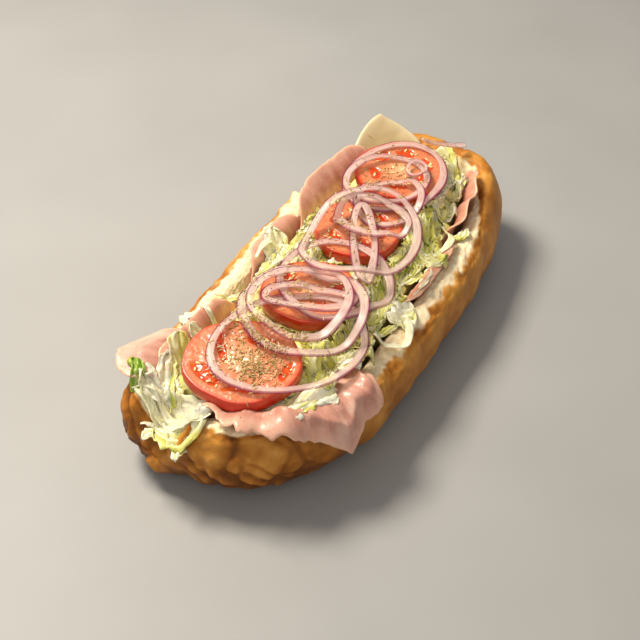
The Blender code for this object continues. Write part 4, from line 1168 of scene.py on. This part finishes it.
def add_leaves(name, seed):
    """One piece of all the crumpled pieces of leaf, each a thin closed shell."""
    middle, tone, veins = leaf_middle(seed)
    points = shells(middle, 0.00045)
    one = shell_faces(LEAF_STEPS, LEAF_ACROSS)
    first = np.arange(len(middle))[:, None, None] * 2 * LEAF_STEPS * LEAF_ACROSS
    tones, marks = np.stack([tone, tone], axis=1), np.stack([veins, veins], axis=1)
    add_piece(name, points, (one[None] + first).reshape(-1, 4), lettuce, "lettuce", tone=tones, along=marks)


add_leaves("lettuce_leaves", 61)

# %% Heaps of shreds
# (x, y, spread x, spread y, heading, its spread, count, length, width, tone, lift), in mm and degrees
HEAPS = (
    (-121, 24, 5, 9, -95, 30, 7, 22, 4.0, 0.14, 3.0),
    (-127, 16, 4, 6, -130, 25, 3, 13, 3.5, 0.26, 2.0),
    (-106, 29, 8, 4, 10, 40, 14, 18, 4.5, 0.22, 2.0),
    (-84, 33, 10, 4, 15, 45, 14, 16, 4.0, 0.34, 2.5),
    (-40, 34, 5, 4, 60, 50, 8, 11, 3.0, 0.55, 2.5),
    (-12, 31, 12, 4, 15, 30, 18, 20, 4.5, 0.34, 2.5),
    (28, 31, 11, 4, 10, 35, 14, 18, 4.0, 0.35, 2.5),
    (44, 24, 5, 3, 30, 50, 7, 11, 3.5, 0.55, 1.5),
    (88, 18, 6, 4, -30, 40, 9, 12, 3.5, 0.35, 1.0),
    (102, -20, 7, 5, 50, 40, 22, 14, 4.0, 0.20, 4.0),
    (90, -29, 8, 3, 15, 30, 16, 14, 3.6, 0.26, 3.5),
    (-76, -30, 15, 5, 20, 40, 46, 17, 3.4, 0.42, 3.0),
    (-98, -33, 11, 5, -20, 30, 18, 20, 4.5, 0.24, 2.0),
    (-48, -33, 11, 6, 30, 50, 40, 16, 3.2, 0.48, 3.0),
    (-14, -34, 13, 6, 35, 50, 42, 18, 3.6, 0.48, 3.0),
    (20, -32, 12, 6, 25, 45, 34, 18, 3.8, 0.50, 3.0),
    (46, -31, 11, 6, 30, 40, 34, 19, 4.5, 0.52, 3.0),
    (82, -24, 13, 6, 15, 45, 30, 18, 4.0, 0.24, 3.0),
    (110, -6, 6, 12, 80, 45, 24, 16, 4.0, 0.26, 3.0),
    (-30, -10, 30, 16, 0, 90, 50, 17, 4.0, 0.40, 1.5),
    (50, 0, 40, 18, 0, 90, 56, 17, 4.0, 0.40, 1.5),
    (0, 22, 60, 7, 0, 60, 40, 18, 4.0, 0.34, 2.0),
    (-90, 10, 20, 20, 0, 90, 20, 18, 4.5, 0.28, 1.0),
)


def heap_lines(heaps, rng):
    """Start, heading, length, width, tone and lift of every shred, drawn round each heap."""
    rows = np.repeat(np.array(heaps, float), [int(heap[6]) for heap in heaps], axis=0)
    count = len(rows)
    start = rows[:, :2] * 1e-3 + rng.normal(0.0, 0.62, (count, 2)) * rows[:, 2:4] * 1e-3
    heading = np.radians(rows[:, 4] + rng.normal(0.0, 0.6, count) * rows[:, 5])
    length = rows[:, 7] * 1e-3 * rng.uniform(0.5, 1.4, count)
    width = rows[:, 8] * 1e-3 * rng.uniform(0.35, 1.4, count)
    tone = np.clip(rows[:, 9] + rng.normal(0.0, 0.16, count), 0.0, 0.9)
    lift = rows[:, 10] * 1e-3 * rng.uniform(0.0, 1.0, count)
    return start, heading, length, width, tone, lift


def add_shreds(name, heaps, seed, steps=19, sides=8):
    """One piece of many shreds: lines in plan, laid on the heap, then given their leafy profile."""
    rng = np.random.default_rng(seed)
    start, heading, length, width, tone, lift = heap_lines(heaps, rng)
    count = len(start)
    phase = rng.uniform(0.0, 6.3, count)
    lines = flat_lines(start, heading, length, rng.normal(0.0, 1.0, count), rng.uniform(0.0, 0.4, count), phase, steps)
    lines = pressed_in(lines)
    ground = bed(lines)
    u = np.linspace(0.0, 1.0, steps)[None, :]
    arch = np.sin(math.pi * u) * rng.uniform(-0.3, 1.0, count)[:, None] * 0.0016
    height = eased(np.maximum(ground, eased(ground, 6)) + lift[:, None]) + arch
    middle = np.concatenate([lines, height[..., None]], axis=-1)
    points = ribbons(
        middle, width, rng.uniform(0.00025, 0.0005, count), rng.normal(0.0, 0.35, count), rng.normal(0.0, 1.6, count),
        0.0007 * rng.uniform(0.2, 1.5, count), phase, rng.uniform(0.08, 0.28, count), sides,
    )
    points = under_the_toppings(points)
    across = np.cos(np.arange(sides) / sides * 2.0 * math.pi)
    tones = tone[:, None, None] + 0.16 * rng.normal(0.0, 1.0, count)[:, None, None] * across
    tones = tones + 0.22 * (rng.uniform(-1.0, 1.0, count)[:, None] * (u - 0.5))[..., None]
    veins = np.stack([2.0 * across + 0.0 * tones, 0.5 * u[..., None] + 0.0 * tones, phase[:, None, None] + 0.0 * tones], axis=-1)
    add_piece(name, points, ribbon_faces(count, steps, sides), lettuce, "lettuce", tone=np.clip(tones, 0.0, 1.0), along=veins)


add_shreds("lettuce_shreds", HEAPS, 41)

# %% Stiff ribs


def add_ribs(name, seed, steps=40, sides=10):
    """White ribs of leaf along smooth lines through four points each, (1 - u)^3 a + 3 (1 - u)^2 u b + ..."""
    u = np.linspace(0.0, 1.0, steps)[None, :, None]
    a, b, c, d = (np.array([rib[i] for rib in RIBS])[:, None] * 1e-3 for i in range(4))
    b, c = b + (b - a) * 0.35, c + (c - d) * 0.35
    lines = (1 - u) ** 3 * a + 3 * (1 - u) ** 2 * u * b + 3 * (1 - u) * u**2 * c + u**3 * d
    count = len(RIBS)
    middle = np.concatenate([lines, (eased(bed(lines), 5) + 0.0030)[..., None]], axis=-1)
    width, tone = np.array([rib[4] for rib in RIBS]) * 1e-3, np.array([rib[5] for rib in RIBS])
    phase = np.linspace(0.0, 5.0, count)
    points = ribbons(
        middle, width, np.full(count, 0.0011), np.full(count, 0.25), np.full(count, 0.9), np.full(count, 0.0003), phase,
        np.full(count, 0.18), sides,
    )
    tones = tone[:, None, None] + 0.0 * points[..., 0]
    veins = np.stack([3.0 * np.cos(np.arange(sides) * 0.63) + 0.0 * tones, u + 0.0 * tones, 0.0 * tones], axis=-1)
    add_piece(name, under_the_toppings(points), ribbon_faces(count, steps, sides), lettuce, "lettuce", tone=tones, along=veins)


add_ribs("lettuce_ribs", 71)

# %% [markdown]
# ## Loose things on top
# Seeds, herbs and pepper are dropped straight down on the finished pieces: a ray finds
# the height and the slope of what is below each of them.

# %% Dropping things


def surface_tree():
    """A search tree over every finished piece."""
    points, triangles, first = [], [], 0
    for piece_points, piece_triangles in surfaces.values():
        points.append(piece_points)
        triangles.append(piece_triangles + first)
        first += len(piece_points)
    return BVHTree.FromPolygons(np.concatenate(points).tolist(), np.concatenate(triangles).tolist())


def drop(tree, xy):
    """Place and upward normal of what lies below each x and y; what misses is left out."""
    down = Vector((0.0, 0.0, -1.0))
    hits = [tree.ray_cast(Vector((x, y, 0.15)), down)[:2] for x, y in xy]
    kept = np.array([hit[0] is not None for hit in hits])
    spots = np.array([hit[0] for hit in hits if hit[0] is not None])
    normals = np.array([hit[1] for hit in hits if hit[0] is not None])
    return spots, normals * np.sign(normals[:, 2:] + 1e-9), kept


def scattered(patches, rng):
    """Places in plan, drawn round patches of (x, y, spread x, spread y, count), in mm."""
    rows = np.repeat(np.array(patches, float), [int(patch[4]) for patch in patches], axis=0)
    return (rows[:, :2] + rng.normal(0.0, 0.55, (len(rows), 2)) * rows[:, 2:4]) * 1e-3


def grains(spots, normals, size, seed, rows=5, columns=8, point=0.0, ragged=0.2):
    """Small rounded bodies: spheres squeezed to size (length, width, height), drawn to a point at
    one end, made uneven by noise, and laid flat on the surface at random headings."""
    rng = np.random.default_rng(seed)
    count = len(spots)
    polar = np.linspace(0.06, math.pi - 0.06, rows)[:, None]
    turn = np.arange(columns) / columns * 2.0 * math.pi
    ball = np.stack([np.cos(polar) + 0 * turn, np.sin(polar) * np.cos(turn), np.sin(polar) * np.sin(turn)], axis=-1)
    ball[..., 1:] *= (1.0 - point * 0.5 * (1.0 + ball[..., :1])) ** 0.8
    bodies = ball[None] * size[:, None, None, :] * 0.5
    bodies = bodies * (1.0 + ragged * rng.normal(0.0, 1.0, bodies.shape[:3])[..., None])
    heading = rng.uniform(0.0, 2.0 * math.pi, count)
    guess = np.stack([np.cos(heading), np.sin(heading), 0.0 * heading], axis=-1)
    side = np.cross(normals, guess)
    side = side / np.linalg.norm(side, axis=1)[:, None]
    ahead = np.cross(side, normals)
    axes = np.stack([ahead, side, normals], axis=1)
    points = np.einsum("nrci,nij->nrcj", bodies, axes) + (spots + normals * size[:, 2:] * 0.3)[:, None, None]
    return points, ribbon_faces(count, rows, columns)


tree = surface_tree()
print("pieces that can be dropped on:", len(surfaces))

# %% Tomato seeds
seed_finish = new_material("tomato_seed", roughness=0.25, Subsurface_Weight=0.2, Subsurface_Scale=0.002, Coat_Weight=0.4)
seed_colour = ramp(seed_finish, noise(seed_finish, 500.0), (0.3, (0.78, 0.52, 0.20)), (0.7, (0.90, 0.74, 0.42)))
finish_with(seed_finish, Base_Color=seed_colour)
SEEDS_PER_SLICE = {"tomato_near": 30, "tomato_second": 34, "tomato_third": 38, "tomato_far": 34}
seed_rng = np.random.default_rng(61)
seed_places = []
for node, count in SEEDS_PER_SLICE.items():
    slice_points, gel_mark = tomato_tops[node]
    candidates = slice_points[gel_mark > 0.45]
    seed_places.append(candidates[seed_rng.integers(0, len(candidates), count)][:, :2])
    (sx, sy), _, slice_size, _, _ = slice_frame(node)
    stray = seed_rng.normal(0.0, 0.45, (count // 3, 2)) * slice_size
    seed_places.append(np.array([sx, sy]) + np.clip(stray, -0.75 * slice_size, 0.75 * slice_size))
seed_places = np.concatenate(seed_places)
tomato_surfaces = {name: value for name, value in surfaces.items() if name.startswith("cut_")}
tomato_tree = BVHTree.FromPolygons(
    np.concatenate([p for p, _ in tomato_surfaces.values()]).tolist(),
    np.concatenate([t + s * len(p) for s, (p, t) in enumerate(tomato_surfaces.values())]).tolist(),
)
spots, normals, _ = drop(tomato_tree, seed_places)
seed_sizes = np.array([[0.0026, 0.0017, 0.0009]]) * seed_rng.uniform(0.7, 1.15, (len(spots), 1))
seed_points, seed_faces = grains(spots, normals, seed_sizes, 62, rows=6, columns=8, point=0.6, ragged=0.03)
add_piece("tomato_seeds", seed_points, seed_faces, seed_finish, "tomato")

# %% Dried herbs
herb = new_material("dried_herb", roughness=0.75)
herb_colour = ramp(herb, mark(herb, "tone"), (0.0, (0.74, 0.52, 0.25)), (0.45, (0.60, 0.40, 0.16)), (0.75, (0.42, 0.29, 0.09)), (1.0, (0.20, 0.14, 0.035)))
finish_with(herb, Base_Color=herb_colour)
HERB_PATCHES = (
    (-92, -5, 11, 11, 210), (-84, -12, 9, 8, 90), (-76, 4, 7, 16, 120), (-84, 4, 12, 14, 60), (-68, -12, 8, 12, 60),
    (-48, 0, 22, 20, 90), (-60, 26, 10, 7, 40), (-8, -4, 14, 16, 50), (14, 4, 16, 18, 90), (28, -8, 14, 14, 50),
    (72, 4, 18, 14, 90), (52, 8, 12, 12, 50), (-95, 12, 14, 12, 40), (0, 0, 90, 28, 120),
)


def add_flakes(name, patches, seed, sizes, finish, slot, tone_range):
    """Flakes: very short ribbons, each laid on what is below it and tilted at random."""
    rng = np.random.default_rng(seed)
    spots, normals, _ = drop(tree, scattered(patches, rng))
    count, steps = len(spots), 5
    length = rng.uniform(*sizes[0], count)
    heading = rng.uniform(0.0, 2.0 * math.pi, count)
    phase = rng.uniform(0.0, 6.3, count)
    lines = flat_lines(np.zeros((count, 2)), heading, length, rng.normal(0.0, 0.8, count), np.zeros(count), phase, steps)
    slope = -normals[:, None, :2] / np.maximum(normals[:, None, 2:], 0.4)
    rise = (lines * slope).sum(axis=-1) + np.linspace(-0.5, 0.5, steps)[None] * (rng.uniform(0.0, 0.5, count) * length)[:, None]
    middle = np.concatenate([lines, rise[..., None]], axis=-1) + spots[:, None] + np.array([0.0, 0.0, 0.00035])
    points = ribbons(
        middle, rng.uniform(*sizes[1], count), np.full(count, 0.00022), rng.normal(0.0, 0.5, count),
        rng.normal(0.0, 1.2, count), np.full(count, 0.00005), phase, np.full(count, 0.6), 4,
    )
    tone = np.broadcast_to(rng.uniform(*tone_range, count)[:, None, None], points.shape[:3])
    add_piece(name, points, ribbon_faces(count, steps, 4), finish, slot, tone=tone)


add_flakes("herb_flakes", HERB_PATCHES, 71, ((0.0009, 0.0030), (0.0004, 0.0009)), herb, "crust", (0.0, 0.9))

# %% Ground pepper
pepper = new_material("ground_pepper", roughness=0.8)
finish_with(pepper, Base_Color=ramp(pepper, noise(pepper, 900.0), (0.35, (0.020, 0.012, 0.008)), (0.7, (0.12, 0.07, 0.035))))
PEPPER_PATCHES = (
    (-62, 12, 16, 20, 60), (-45, 0, 22, 22, 50), (-85, 0, 20, 18, 40), (10, 0, 26, 22, 60), (65, 4, 26, 18, 50),
    (0, 0, 100, 32, 90),
)
pepper_rng = np.random.default_rng(81)
spots, normals, _ = drop(tree, scattered(PEPPER_PATCHES, pepper_rng))
pepper_sizes = pepper_rng.uniform(0.00028, 0.00075, (len(spots), 3))
pepper_points, pepper_faces = grains(spots, normals, pepper_sizes, 82, rows=4, columns=5, ragged=0.25)
add_piece("pepper_grains", pepper_points, pepper_faces, pepper, "crust")
